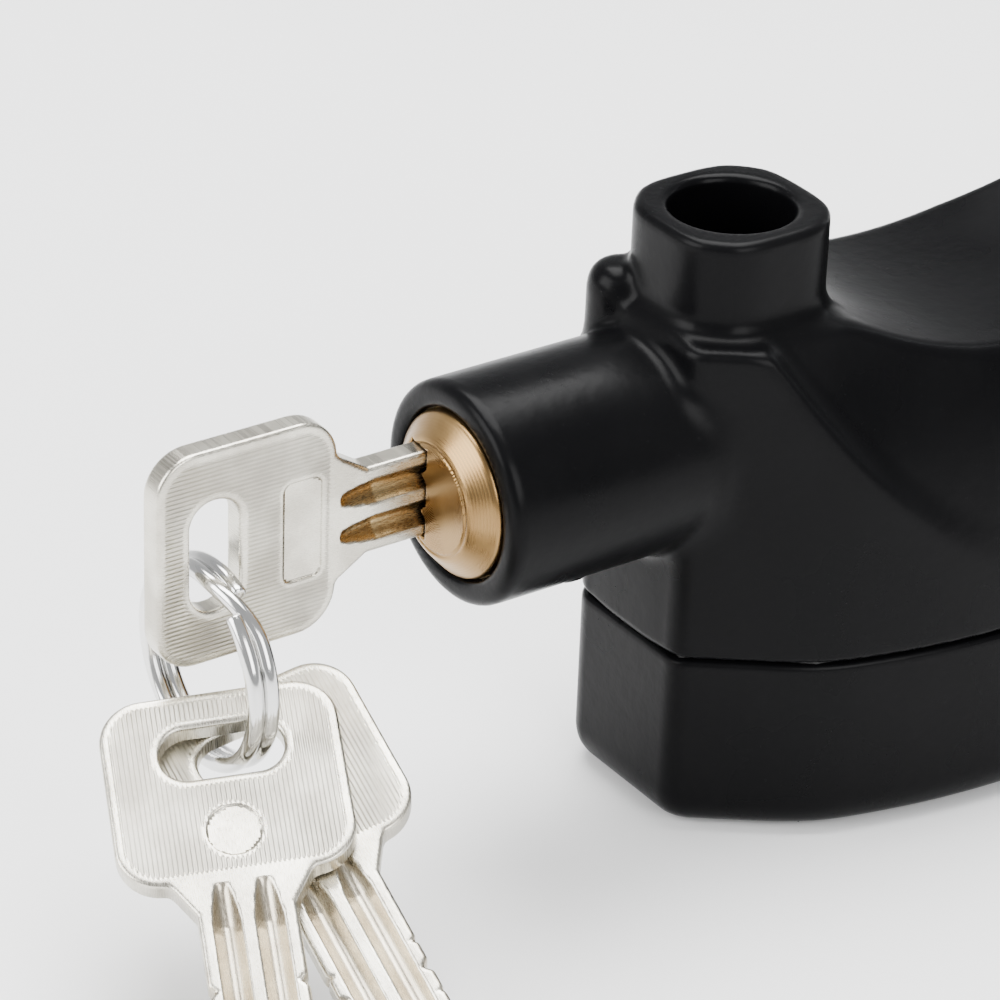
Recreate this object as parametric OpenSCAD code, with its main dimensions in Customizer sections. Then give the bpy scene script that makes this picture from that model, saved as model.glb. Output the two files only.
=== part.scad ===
// Disc brake lock with an alarm: a cast body with two shackle sockets, a keyed
// barrel on the left, electronics in the cover below, and a key ring on the key.
// Units are millimetres. X runs along the body, Z is up, and the origin is the
// middle of the underside.

/* [Body] */
// Length of the block along X
base_len = 70; // [66:0.5:86]
// Width of the flat end faces
end_w = 14.6; // [12:0.1:18]
// Distance from the middle to the corner where the front starts
shoulder_x = 24.9; // [22:0.1:28]
// Width of the body at that corner
shoulder_w = 29.6; // [26:0.1:36]
// Width of the body at its middle
body_w = 38; // [34:0.5:48]
// Height of the lower cover
cover_h = 18; // [16:0.5:24]
// Height of the deck round the sockets
deck_h = 48; // [46:0.5:52]
// Height of the socket rims
body_h = 57; // [54:0.5:62]
// Height in which the front and back would lean in to the middle
lean_h = 46; // [42:1:60]
// Radius of the saddle between the sockets
saddle_r = 40; // [30:1:80]
// Height of the saddle at its lowest
saddle_z = 43.1; // [41:0.1:46]

/* [Sockets] */
// Distance between the two socket axes
socket_pitch = 52; // [48:0.5:56]
// Diameter of the socket bores
socket_d = 11; // [10.6:0.1:12]
// Width of a socket tower across its flats
tower_flat = 15.5; // [14.5:0.1:18]
// Diameter of a socket tower at its corners
tower_d = 17; // [16:0.1:19]
// Height of the left socket's floor
left_floor_z = 30; // [28:0.5:31]
// Height of the right socket's floor
right_floor_z = 16.2; // [15.8:0.1:16.8]

/* [Barrel] */
// Height of the barrel's axis
barrel_z = 36.5; // [34:0.5:38]
// Radius of the barrel
barrel_r = 10; // [9.5:0.1:11]
// Distance from the left socket axis to the barrel's end
barrel_reach = 28.5; // [26:0.5:34]
// Radius of the brass plug's head
head_r = 7.45; // [7:0.05:8]
// Radius of the plug's flat face
face_r = 5.3; // [4.5:0.1:6]
// Radius of the plug's body
plug_r = 6.6; // [6.2:0.05:7]
// Radial clearance of the turning plug
run_gap = 0.05; // [0.02:0.01:0.1]

/* [Shackle] */
// Diameter of the shackle bar
bar_d = 10; // [8:0.5:10.4]
// Height of the free leg's tip when the lock is shut
free_tip_z = 32; // [31:0.5:33]
// Height of the heel leg's tip when the lock is shut
heel_tip_z = 22; // [21.5:0.1:23]
// Height at which the legs turn into the bow when the lock is shut
bend_z = 79; // [70:1:110]
// How far the shackle is drawn up at rest
lift = 26.5; // [26:0.5:30]

/* [Key] */
// Thickness of a key
key_t = 2.4; // [2:0.1:2.6]
// Length of a key's bow
bow_len = 17.5; // [15:0.5:20]
// Width of a key's bow
bow_w = 20; // [17:0.5:22]
// Length of a key's blade
blade_len = 27.5; // [26:0.5:28]
// Width of a key's blade
blade_w = 8.2; // [7:0.1:8.4]
// Inner radius of the key ring
ring_r = 8; // [7:0.1:9]
// Diameter of the key ring's wire
wire_d = 1.5; // [1.2:0.1:1.8]

/* [Inside] */
// Thickness of the lower cover's walls
wall = 2.4; // [2:0.1:3]
// Gap that the gasket fills between the castings
seam = 0.4; // [0.3:0.1:0.8]
// Diameter of a button cell
cell_d = 11.6; // [11:0.1:12]
// Thickness of a button cell
cell_t = 5.4; // [5:0.1:5.6]
// Travel of the locking bolt
bolt_travel = 6.5; // [6:0.1:6.6]

/* [Hidden] */
$fn = 64;
eps = 0.01;
left_x = -socket_pitch / 2;
right_x = socket_pitch / 2;
barrel_end = left_x - barrel_reach;
cover_top = cover_h - seam;

// Outline of the block, drawn in by i all round.
front_arc_r = (pow(shoulder_x, 2) + pow((body_w - shoulder_w) / 2, 2)) / (body_w - shoulder_w);
front_arc_y = body_w / 2 - front_arc_r;
chamfer_run = base_len / 2 - shoulder_x;
chamfer_rise = (shoulder_w - end_w) / 2;
chamfer_n = [chamfer_rise, chamfer_run] / norm([chamfer_rise, chamfer_run]);
arc_n = [shoulder_x, shoulder_w / 2 - front_arc_y] / front_arc_r;
corner_det = chamfer_n[0] * arc_n[1] - chamfer_n[1] * arc_n[0];
end_step = [1, (1 - chamfer_n[0]) / chamfer_n[1]];
arc_step = [arc_n[1] - chamfer_n[1], chamfer_n[0] - arc_n[0]] / corner_det;
arc_parts = 10;

function end_corner(i) = [base_len / 2, end_w / 2] - i * end_step;
function arc_corner(i) = [shoulder_x, shoulder_w / 2] - i * arc_step;
function arc_point(a, i) = [(front_arc_r - i) * sin(a), front_arc_y + (front_arc_r - i) * cos(a)];
function arc_half(i) = atan2(arc_corner(i)[0], arc_corner(i)[1] - front_arc_y);
function front_half(i) = concat([end_corner(i)],
    [for (k = [0:arc_parts]) arc_point(arc_half(i) * (1 - 2 * k / arc_parts), i)],
    [[-end_corner(i)[0], end_corner(i)[1]]]);
function outline(i) = concat(front_half(i), [for (p = front_half(i)) -p]);
// Half of the block's depth at x, along the straight facet.
function facet_depth(x) = end_w / 2 + (base_len / 2 - abs(x)) * chamfer_rise / chamfer_run;

module block_outline(i = 0) {
    polygon(outline(i));
}

module along_x(x0, x1, r) {
    translate([x0, 0, barrel_z])
        rotate([0, 90, 0])
            cylinder(h = x1 - x0, r = r);
}

// Bolt, with the plug's drive pin in its slot.
bolt_x0 = left_x - 8.2;
bolt_t = 2.5;
bolt_x1 = bolt_x0 + bolt_t;
finger_depth = 2.9;
finger_w = 3.4;
finger_h = 5;
bolt_gap = 0.2;
drive_r = bolt_travel / sqrt(2);
drive_pin_r = 1.2;
drive_slot_gap = 0.35;
drive_at = bolt_travel / 2;
finger_y0 = bolt_travel - finger_w / 2;
finger_y1 = bolt_travel + finger_w / 2;
bolt_y0 = 0.6;
bolt_foot = 7.2;
bolt_foot_y1 = 6;
bolt_tab_y1 = 4.6;
bolt_tab_h = 2;
stop_pin_r = 1.25;
stop_pin_y = bolt_tab_y1 + 0.15 + stop_pin_r;
boss_r = 3;
boss_top = body_h - 6.2;
bolt_mid_x = bolt_x0 + bolt_t / 2;

// Half of the block's depth at height z, where the front and back lean in.
function lean_depth(z) = body_w / 2 * (1 - pow((z - cover_h) / lean_h, 2));
lean_steps = 8;
lean_z = [for (k = [0:lean_steps]) cover_h + (deck_h - cover_h) * k / lean_steps];

module lean_profile() {
    polygon(concat([for (z = lean_z) [lean_depth(z), z]],
        [for (k = [lean_steps:-1:0]) [-lean_depth(lean_z[k]), lean_z[k]]]));
}

module block() {
    difference() {
        intersection() {
            translate([0, 0, cover_h])
                linear_extrude(height = deck_h - cover_h)
                    block_outline();
            translate([-base_len, 0, 0])
                rotate([90, 0, 90])
                    linear_extrude(height = 2 * base_len)
                        lean_profile();
        }
        translate([0, body_w, saddle_z + saddle_r])
            rotate([90, 0, 0])
                cylinder(h = 2 * body_w, r = saddle_r, $fn = 96);
        for (sx = [-1, 1])
            for (sy = [-1, 1])
                scoop(sx, sy);
    }
}

// Hollow that runs from a tower's inner foot down and out to the front or back.
scoop_r = 8;
scoop_tilt = 35;
scoop_in = 6;
scoop_y = 15;
scoop_z = deck_h - 3;
module scoop(sx, sy) {
    translate([sx * (socket_pitch / 2 - scoop_in), sy * scoop_y, scoop_z])
        rotate([sy * scoop_tilt, 0, 0])
            cylinder(h = body_w * 2, r = scoop_r, center = true);
}

module tower(x) {
    translate([x, 0, cover_h])
        linear_extrude(height = body_h - cover_h)
            intersection() {
                circle(d = tower_d);
                square(tower_flat, center = true);
            }
}

barrel_round = 1.2;
module barrel_body() {
    translate([barrel_end, 0, barrel_z])
        rotate([0, 90, 0])
            rotate_extrude()
                polygon([[0, 0], [barrel_r - barrel_round, 0], [barrel_r - barrel_round * 0.3, barrel_round * 0.3],
                    [barrel_r, barrel_round], [barrel_r, bolt_x1 - barrel_end], [0, bolt_x1 - barrel_end]]);
}

module rear_boss() {
    translate([bolt_mid_x, stop_pin_y, barrel_z])
        cylinder(h = boss_top - boss_r * 0.6 - barrel_z, r = boss_r);
    translate([bolt_mid_x, stop_pin_y, boss_top - boss_r * 0.6])
        rotate_extrude()
            polygon([[0, 0], [boss_r, 0], [boss_r * 0.87, boss_r * 0.35], [boss_r * 0.5, boss_r * 0.55],
                [0, boss_r * 0.6]]);
}

pin_boss_x = barrel_end + 12;
pin_boss_r = 2.6;
pin_boss_drop = 0.9;
module pin_boss() {
    translate([pin_boss_x, 0, barrel_z - barrel_r - pin_boss_drop])
        cylinder(h = pin_boss_drop + 2, r = pin_boss_r);
}

heel_boss_z = right_floor_z - 3.2;
heel_boss_r = 6.2;
module heel_boss() {
    translate([right_x, 0, heel_boss_z])
        cylinder(h = cover_h - heel_boss_z + 2, r = heel_boss_r);
}

core_x = 11;
core_y = 9;
core_top = saddle_z - 5;
module core_pocket() {
    translate([-core_x, -core_y, cover_h - eps])
        cube([2 * core_x, 2 * core_y, core_top - cover_h]);
}

module bolt_pocket() {
    y_shut = bolt_y0 - bolt_travel - bolt_gap;
    reach = bolt_x1 - bolt_x0 + 2 * bolt_gap;
    translate([bolt_x0 - bolt_gap, y_shut, barrel_z - bolt_foot - bolt_gap])
        cube([reach, bolt_foot_y1 + bolt_gap - y_shut, bolt_foot + finger_h / 2 + bolt_tab_h + 2 * bolt_gap]);
    translate([bolt_x0 - bolt_gap, y_shut, barrel_z - finger_h / 2 - bolt_gap])
        cube([reach, finger_y1 + bolt_gap - y_shut, finger_h + 2 * bolt_gap]);
    translate([bolt_x0, -finger_w / 2 - bolt_gap, barrel_z - finger_h / 2 - bolt_gap])
        cube([bolt_t + finger_depth + bolt_gap, finger_y1 + finger_w / 2 + 2 * bolt_gap,
            finger_h + 2 * bolt_gap]);
}

screw_at = [[-26.8, 7.6], [18.5, 12.2]];
screw_r = 1.5;
thread_depth = 8;
module at_cover_screws() {
    for (p = screw_at)
        for (sy = [-1, 1])
            translate([p[0], sy * p[1], 0])
                children();
}

plunger_stem_r = 1.5;
plunger_head_r = 3.5;
plunger_travel = 1.8;
plunger_gap = 0.05;
plunger_free_z = heel_tip_z - 0.3;
sleeve_r = head_r + 0.15;
sleeve_pin_r = 1.25;

module upper_housing() {
    color("#17181a")
        difference() {
            union() {
                block();
                tower(left_x);
                tower(right_x);
                barrel_body();
                rear_boss();
                pin_boss();
                heel_boss();
            }
            translate([left_x, 0, left_floor_z])
                cylinder(h = body_h, d = socket_d);
            translate([right_x, 0, right_floor_z])
                cylinder(h = body_h, d = socket_d);
            translate([right_x, 0, heel_boss_z - eps])
                cylinder(h = body_h, r = plunger_stem_r + plunger_gap);
            along_x(barrel_end - eps, bolt_x0, sleeve_r);
            bolt_pocket();
            core_pocket();
            translate([pin_boss_x, 0, barrel_z - barrel_r - 2])
                cylinder(h = barrel_r, r = sleeve_pin_r);
            translate([bolt_mid_x, stop_pin_y, barrel_z + finger_h / 2 + 0.3])
                cylinder(h = boss_top - barrel_z, r = stop_pin_r);
            at_cover_screws()
                translate([0, 0, cover_h - eps])
                    cylinder(h = thread_depth, r = screw_r);
        }
}

// Lower cover: a tray with a rounded lower edge.
board_z = 7;
board_screw_at = [[27.4, 5.7], [27.4, -5.7]];
edge_in = [[0, 1.6], [0.45, 0.65], [1.0, 0.25], [2.2, 0]];
lip = 1.2;
door_x0 = -24;
door_x1 = 1;
door_y = 12.6;
door_t = 1.6;
door_screw_x = door_x1 - 2.7;
hatch_x0 = door_x0 + 1.6;
hatch_x1 = door_x1 - 5.4;
hatch_y = door_y - 0.8;
siren_x = 10;
siren_r = 10;
siren_t = 4;
screw_post_r = 2.6;
screw_head_r = 2.5;
screw_head_h = 1.8;

module cover_solid() {
    for (k = [0:len(edge_in) - 2])
        translate([0, 0, edge_in[k][0]])
            linear_extrude(height = edge_in[k + 1][0] - edge_in[k][0])
                block_outline(edge_in[k][1]);
    translate([0, 0, edge_in[len(edge_in) - 1][0]])
        linear_extrude(height = cover_top - edge_in[len(edge_in) - 1][0])
            block_outline();
}

module base_cover() {
    color("#1a1b1d")
        difference() {
            cover_solid();
            difference() {
                translate([0, 0, wall])
                    linear_extrude(height = cover_h)
                        block_outline(wall);
                at_cover_screws()
                    cylinder(h = cover_h, r = screw_post_r);
                for (p = board_screw_at)
                    translate([p[0], p[1], 0])
                        cylinder(h = board_z, r = 2);
            }
            for (p = board_screw_at)
                translate([p[0], p[1], wall])
                    cylinder(h = cover_h, r = 1);
            at_cover_screws() {
                translate([0, 0, -eps])
                    cylinder(h = cover_h + 1, r = screw_r + 0.2);
                translate([0, 0, -eps])
                    cylinder(h = screw_head_h, r = screw_head_r);
            }
            translate([door_x0, -door_y, -eps])
                cube([door_x1 - door_x0, 2 * door_y, door_t + 0.2]);
            translate([hatch_x0, -hatch_y, -eps])
                cube([hatch_x1 - hatch_x0, 2 * hatch_y, wall + 1]);
            translate([door_screw_x, 0, 0])
                cylinder(h = wall + 1, r = 0.9);
            sound_ports();
        }
}

port_r = 0.8;
module sound_ports() {
    translate([siren_x, 0, -eps])
        cylinder(h = wall + 1, r = port_r);
    for (ring = [1, 2])
        for (k = [0:6 * ring - 1])
            rotate_about_siren(k * 60 / ring, ring * 3.2);
}

module rotate_about_siren(angle, r) {
    translate([siren_x + r * cos(angle), r * sin(angle), -eps])
        cylinder(h = wall + 1, r = port_r);
}

gasket_in = 0.8;
gasket_w = 1.3;
module cover_gasket() {
    color("#0b0b0c")
        translate([0, 0, cover_top])
            linear_extrude(height = seam)
                difference() {
                    block_outline(gasket_in);
                    block_outline(gasket_in + gasket_w);
                }
}

module screw(r, head, head_h, length) {
    difference() {
        union() {
            cylinder(h = head_h, r = head);
            cylinder(h = length, r = r);
        }
        translate([0, 0, -eps])
            cylinder(h = head_h * 0.6, r = head * 0.45, $fn = 6);
    }
}

module cover_screws() {
    color("silver")
        at_cover_screws()
            translate([0, 0, 0.3])
                screw(screw_r - 0.02, screw_head_r - 0.2, 1.4, cover_h + thread_depth - 1.5);
}

// Keyed barrel.
head_t = 1.9;
head_x0 = barrel_end - head_t + 0.1;
head_x1 = barrel_end + 1.6;
bevel_x = barrel_end + 0.05;
sleeve_x0 = head_x1 + 0.15;
sleeve_x1 = bolt_x0 - 2;
plug_x1 = bolt_x0 - 0.9;
clip_x0 = sleeve_x1 + 0.2;
clip_t = 0.8;
key_y0 = 1.2;
keyway_gap = 0.1;
wafer_t = 0.8;
wafer_pitch = 2.5;
wafer_count = 5;
wafer_x0 = sleeve_x0 + 2.5;
wafer_y0 = -3;
wafer_y1 = key_y0 + key_t + 0.8;
wafer_r = plug_r - 0.1;
wafer_lift = 0.5;
groove_r = plug_r + run_gap + wafer_lift + 0.1;
tail_r = 6.2;

module revolve_x(x, points) {
    translate([x, 0, barrel_z])
        rotate([0, 90, 0])
            rotate_extrude()
                polygon(points);
}

module lock_sleeve() {
    groove_w = wafer_y1 - wafer_y0 + 0.6;
    groove_len = wafer_pitch * (wafer_count - 1) + wafer_t + 1;
    color("#b58f55")
        difference() {
            along_x(sleeve_x0, sleeve_x1, sleeve_r - 0.02);
            along_x(sleeve_x0 - 1, sleeve_x1 + 1, plug_r + run_gap);
            for (turn = [0, 90])
                intersection() {
                    translate([wafer_x0 - 0.5, 0, barrel_z])
                        rotate([-turn, 0, 0])
                            translate([0, wafer_y0 - 0.3, -body_h / 2])
                                cube([groove_len, groove_w, body_h]);
                    along_x(sleeve_x0, sleeve_x1, groove_r);
                }
            translate([pin_boss_x, 0, barrel_z - barrel_r])
                cylinder(h = barrel_r - groove_r + 0.05, r = sleeve_pin_r);
        }
}

module sleeve_pin() {
    color("silver")
        translate([pin_boss_x, 0, barrel_z - barrel_r - pin_boss_drop - 0.3])
            cylinder(h = barrel_r + pin_boss_drop + 0.3 - groove_r, r = sleeve_pin_r - 0.01);
}

module bolt_stop_pin() {
    pin_z0 = barrel_z + finger_h / 2 + 0.35;
    color("silver")
        translate([bolt_mid_x, stop_pin_y, pin_z0])
            cylinder(h = boss_top - 2 - pin_z0, r = stop_pin_r - 0.01);
}

module keyway(x1) {
    translate([head_x0 - 1, key_y0 - keyway_gap, barrel_z - blade_w / 2 - keyway_gap])
        cube([x1 - head_x0 + 1, key_t + 2 * keyway_gap, blade_w + 2 * keyway_gap]);
}

module lock_plug() {
    color("#c49a5a")
        difference() {
            union() {
                revolve_x(head_x0, [[0, 0], [face_r, 0], [head_r, bevel_x - head_x0],
                    [head_r, head_x1 - head_x0], [plug_r, head_x1 - head_x0],
                    [plug_r, clip_x0 - head_x0], [tail_r, clip_x0 - head_x0],
                    [tail_r, clip_x0 + clip_t + 0.1 - head_x0], [plug_r, clip_x0 + clip_t + 0.1 - head_x0],
                    [plug_r, plug_x1 - head_x0], [0, plug_x1 - head_x0]]);
                translate([plug_x1 - 1, drive_at, barrel_z - drive_at])
                    rotate([0, 90, 0])
                        cylinder(h = bolt_x1 - plug_x1 + 1 - 0.3, r = drive_pin_r);
            }
            keyway(sleeve_x1 - 0.6);
            for (k = [0:wafer_count - 1])
                translate([wafer_x0 + k * wafer_pitch - 0.05, wafer_y0 - 0.05, barrel_z - head_r])
                    cube([wafer_t + 0.1, wafer_y1 - wafer_y0 + 0.1, 2 * head_r]);
        }
}

module plug_clip() {
    color("silver")
        difference() {
            along_x(clip_x0 + 0.05, clip_x0 + clip_t, plug_r + 0.75);
            along_x(clip_x0 - 1, clip_x0 + clip_t + 1, tail_r + 0.02);
            translate([clip_x0 - 1, -2.2, barrel_z])
                cube([clip_t + 2, 4.4, 2 * head_r]);
        }
}

module wafer(x) {
    intersection() {
        along_x(x, x + wafer_t, wafer_r);
        translate([x - 1, 0, barrel_z])
            difference() {
                translate([0, wafer_y0, -head_r])
                    cube([wafer_t + 2, wafer_y1 - wafer_y0, 2 * head_r]);
                translate([-1, key_y0 - 0.2, -blade_w / 2 - 0.15])
                    cube([wafer_t + 4, key_t + 0.4, blade_w + 0.3]);
            }
    }
}

module tumbler_wafers() {
    color("#d8b56c")
        for (k = [0:wafer_count - 1])
            wafer(wafer_x0 + k * wafer_pitch);
}

module locking_bolt() {
    color("#9a9c9f")
        difference() {
            union() {
                translate([bolt_x0, bolt_y0, barrel_z - bolt_foot])
                    cube([bolt_t, bolt_foot_y1 - bolt_y0, bolt_foot]);
                translate([bolt_x0, bolt_y0, barrel_z - finger_h / 2])
                    cube([bolt_t, finger_y1 - bolt_y0, finger_h]);
                translate([bolt_x0, bolt_y0, barrel_z])
                    cube([bolt_t, bolt_tab_y1 - bolt_y0, finger_h / 2 + bolt_tab_h]);
                translate([bolt_x0, finger_y0, barrel_z - finger_h / 2])
                    cube([bolt_t + finger_depth, finger_w, finger_h]);
            }
            translate([bolt_x0 - 1, drive_at - drive_pin_r - drive_slot_gap,
                barrel_z - drive_r - drive_pin_r - drive_slot_gap])
                cube([bolt_t + 2, 2 * (drive_pin_r + drive_slot_gap), drive_r + drive_pin_r - drive_at
                    + drive_pin_r + 2 * drive_slot_gap]);
        }
}

// Keys. Each is drawn flat, from the bow's end at x = 0 to the blade's tip.
slot_x = 5.65;
slot_w = 4.8;
slot_len = 10.4;
bow_r = 3.8;
neck_len = 3;
neck_w = 12;
key_len = bow_len + blade_len;
groove_depth = 0.7;
groove_w = 1.5;

module rounded_bow() {
    hull_x = bow_len - bow_r;
    hull_y = bow_w / 2 - bow_r;
    translate([bow_r, -bow_w / 2])
        square([hull_x - bow_r, bow_w]);
    translate([0, -hull_y])
        square([bow_len, 2 * hull_y]);
    for (x = [bow_r, hull_x])
        for (sy = [-1, 1])
            translate([x, sy * hull_y])
                circle(r = bow_r, $fn = 48);
}

module ring_slot() {
    translate([slot_x - slot_w / 2, -slot_len / 2 + slot_w / 2])
        square([slot_w, slot_len - slot_w]);
    for (sy = [-1, 1])
        translate([slot_x, sy * (slot_len - slot_w) / 2])
            circle(d = slot_w, $fn = 48);
}

module blade_outline(cuts) {
    difference() {
        polygon([[bow_len - 1, -neck_w / 2], [bow_len, -neck_w / 2], [bow_len + neck_len, -blade_w / 2],
            [key_len - 2.5, -blade_w / 2], [key_len, -1.2], [key_len, 1.2], [key_len - 2.5, blade_w / 2],
            [bow_len + neck_len, blade_w / 2], [bow_len, neck_w / 2], [bow_len - 1, neck_w / 2]]);
        for (k = [0:len(cuts) - 1])
            for (sy = [-1, 1])
                translate([bow_len + 10 + k * wafer_pitch, sy * (blade_w / 2 + 1 - cuts[k])])
                    rotate(45)
                        square(1.41, center = true);
    }
}

module key_blank(cuts) {
    difference() {
        linear_extrude(height = key_t)
            difference() {
                union() {
                    rounded_bow();
                    blade_outline(cuts);
                }
                ring_slot();
            }
        for (z = [0, key_t])
            for (sy = [-1, 1])
                translate([bow_len + neck_len + 1, sy * 1.9 - groove_w / 2, z - groove_depth])
                    cube([blade_len, groove_w, 2 * groove_depth]);
    }
}

key_x = barrel_end - 28;
module main_key() {
    color("#c9c7c0")
        translate([key_x, key_y0 + key_t, barrel_z])
            rotate([90, 0, 0])
                key_blank([0.3, 0.6, 0.2, 0.5, 0.3]);
}

ring_x = key_x + slot_x;
ring_y = key_y0 + key_t / 2;
ring_seat = 2.5;
ring_z = barrel_z - slot_len / 2 + ring_seat - ring_r;
wire_path_r = ring_r + wire_d / 2;
module split_ring() {
    color("#bfc0c2")
        translate([ring_x, ring_y, ring_z])
            rotate([0, 90, 0])
                rotate_extrude($fn = 96)
                    for (sx = [-1, 1])
                        translate([wire_path_r, sx * (wire_d / 2 - 0.02)])
                            circle(d = wire_d, $fn = 32);
}

// The spare keys lie parallel, one over the other, with key a's tip on the floor.
angle_a = 214.6;
angle_b = 234.6;
fan_heading = -112.2;
fan_roll = 7;
fan_yaw = 17.4;
side_a = 2.6;
side_b = -1.6;
rest_gap = 0.2;
function on_ring(angle) = [ring_x, ring_y + wire_path_r * cos(angle), ring_z + wire_path_r * sin(angle)];
fan_pitch = asin((on_ring(angle_a)[2] - key_t / 2 - rest_gap - blade_w / 2 * sin(fan_roll)) / (key_len - slot_x));
module spare_key(ring_angle, side, yaw, cuts) {
    translate(on_ring(ring_angle))
        rotate([0, 0, fan_heading])
            rotate([0, fan_pitch, 0])
                rotate([fan_roll, 0, 0])
                    rotate([0, 0, yaw])
                        translate([-slot_x, -side, -key_t / 2])
                            key_blank(cuts);
}

module spare_key_a() {
    color("#cfcdc6")
        spare_key(angle_a, side_a, 0, [0.5, 0.2, 0.6, 0.3, 0.4]);
}

module spare_key_b() {
    color("#c2c0b9")
        spare_key(angle_b, side_b, fan_yaw, [0.3, 0.6, 0.2, 0.5, 0.3]);
}

// Shackle, drawn up and turned outwards about its heel leg.
tip_round = 1.5;
groove_z = 3.6;
ring_h = 2;
notch_h = finger_h + 0.8;
notch_x = finger_depth - 0.4;
free_x = right_x + socket_pitch;
bow_r0 = socket_pitch / 2;

module leg(x, z0, z1) {
    translate([x, 0, z0])
        rotate_extrude()
            polygon([[0, 0], [bar_d / 2 - tip_round, 0], [bar_d / 2 - tip_round * 0.3, tip_round * 0.3],
                [bar_d / 2, tip_round], [bar_d / 2, z1 - z0], [0, z1 - z0]]);
}

module shackle_bar() {
    color("#8f9194")
        difference() {
            union() {
                leg(right_x, heel_tip_z + lift, bend_z + lift);
                leg(free_x, free_tip_z + lift, bend_z + lift);
                translate([right_x + bow_r0, 0, bend_z + lift])
                    rotate([90, 0, 0])
                        rotate_extrude(angle = 180, $fn = 96)
                            translate([bow_r0, 0])
                                circle(d = bar_d, $fn = 48);
            }
            translate([free_x + bar_d / 2 - notch_x, -bar_d, barrel_z - notch_h / 2 + lift])
                cube([bar_d, 2 * bar_d, notch_h]);
            translate([right_x, 0, heel_tip_z + lift + groove_z - ring_h / 2 - 0.1])
                difference() {
                    cylinder(h = ring_h + 0.2, r = bar_d);
                    translate([0, 0, -1])
                        cylinder(h = ring_h + 3, r = bar_d / 2 - 0.9);
                }
        }
}

module friction_ring() {
    color("#e4e2da")
        translate([right_x, 0, heel_tip_z + lift + groove_z - ring_h / 2])
            difference() {
                cylinder(h = ring_h, r = socket_d / 2 - 0.03);
                translate([0, 0, -1])
                    cylinder(h = ring_h + 2, r = bar_d / 2 - 0.85);
            }
}

// Arming switch under the heel leg.
board_t = 1.6;
board_x0 = -1;
board_x1 = 29.5;
board_y = 7.8;
board_top = board_z + board_t;
switch_h = 1.2;
switch_top = board_top + switch_h;
stem_z = switch_top + plunger_travel + 0.1;

module arming_plunger() {
    color("#d9d9d6")
        translate([right_x, 0, 0]) {
            translate([0, 0, stem_z])
                cylinder(h = plunger_free_z - stem_z, r = plunger_stem_r);
            translate([0, 0, plunger_free_z - 1.5])
                cylinder(h = 1.5, r = plunger_head_r);
        }
}

spring_wire = 0.4;
module plunger_spring() {
    turns = 3;
    gap = plunger_free_z - 1.5 - right_floor_z - 0.05;
    color("silver")
        translate([right_x, 0, right_floor_z])
            for (k = [0:turns - 1])
                translate([0, 0, spring_wire / 2 + 0.02 + k * (gap - spring_wire - 0.04) / (turns - 1)])
                    rotate_extrude($fn = 48)
                        translate([2.5, 0])
                            circle(d = spring_wire, $fn = 16);
}

module plunger_seal() {
    color("#1d1d1f")
        translate([right_x, 0, heel_boss_z - 0.8])
            difference() {
                cylinder(h = 0.8, r = 3.6);
                translate([0, 0, -1])
                    cylinder(h = 3, r = plunger_stem_r + 0.05);
            }
}

// Electronics.
module circuit_board() {
    color("#1f5a3a")
        difference() {
            translate([board_x0, -board_y, board_z])
                cube([board_x1 - board_x0, 2 * board_y, board_t]);
            for (p = board_screw_at)
                translate([p[0], p[1], board_z - 1])
                    cylinder(h = board_t + 2, r = 1.1);
        }
}

module board_screws() {
    color("silver")
        for (p = board_screw_at)
            translate([p[0], p[1], board_top + 1.2])
                mirror([0, 0, 1])
                    screw(0.98, 1.9, 1.2, board_top + 1.2 - wall - 0.1);
}

module on_board(x, y, size) {
    translate([x - size[0] / 2, y - size[1] / 2, board_top])
        cube(size);
}

module control_chip() {
    color("#26272a")
        union() {
            on_board(9, 2, [5, 4, 1.5]);
            for (k = [0:3])
                for (sy = [-1, 1])
                    on_board(7.1 + k * 1.27, 2 + sy * 2.4, [0.45, 1.2, 0.5]);
        }
}

module vibration_sensor() {
    color("#c9b26a")
        translate([10, -4.6, board_top + 2])
            rotate([0, 90, 0])
                cylinder(h = 7, r = 2);
}

module boost_coil() {
    color("#7a3f22")
        translate([14.2, 4.9, board_top])
            difference() {
                cylinder(h = 4.5, r = 2.8);
                translate([0, 0, 0.8])
                    difference() {
                        cylinder(h = 2.9, r = 4);
                        translate([0, 0, -1])
                            cylinder(h = 5, r = 2.1);
                    }
            }
}

module smoothing_capacitor() {
    color("#33446e")
        translate([5, -3, board_top])
            cylinder(h = 5, r = 2);
}

module arming_switch() {
    color("#3a3b3f")
        union() {
            translate([right_x - 3, -3, board_top])
                cube([6, 6, switch_h - 0.4]);
            translate([right_x, 0, board_top])
                cylinder(h = switch_h, r = 1.6);
        }
}

module piezo_siren() {
    color("#232428")
        translate([siren_x, 0, wall + 0.5])
            difference() {
                cylinder(h = siren_t, r = siren_r);
                translate([0, 0, -eps])
                    cylinder(h = 1.4, r = siren_r - 1.2);
            }
}

module siren_gasket() {
    color("#3b3b3b")
        translate([siren_x, 0, wall])
            difference() {
                cylinder(h = 0.5, r = siren_r - 0.3);
                translate([0, 0, -1])
                    cylinder(h = 2, r = siren_r - 1.5);
            }
}

// Batteries: two rows of three cells in a cradle above the door.
row_y = cell_d / 2 + 0.1;
row_x0 = door_x0 + 2;
cells_in_row = 3;
row_len = cells_in_row * cell_t + 0.4;
cell_z = wall + 0.3 + cell_d / 2;
cradle_top = cell_z + 2.2;
cradle_y = cell_d + 0.7;

module along_row(y, x0, length, r) {
    translate([x0, y, cell_z])
        rotate([0, 90, 0])
            cylinder(h = length, r = r);
}

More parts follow.
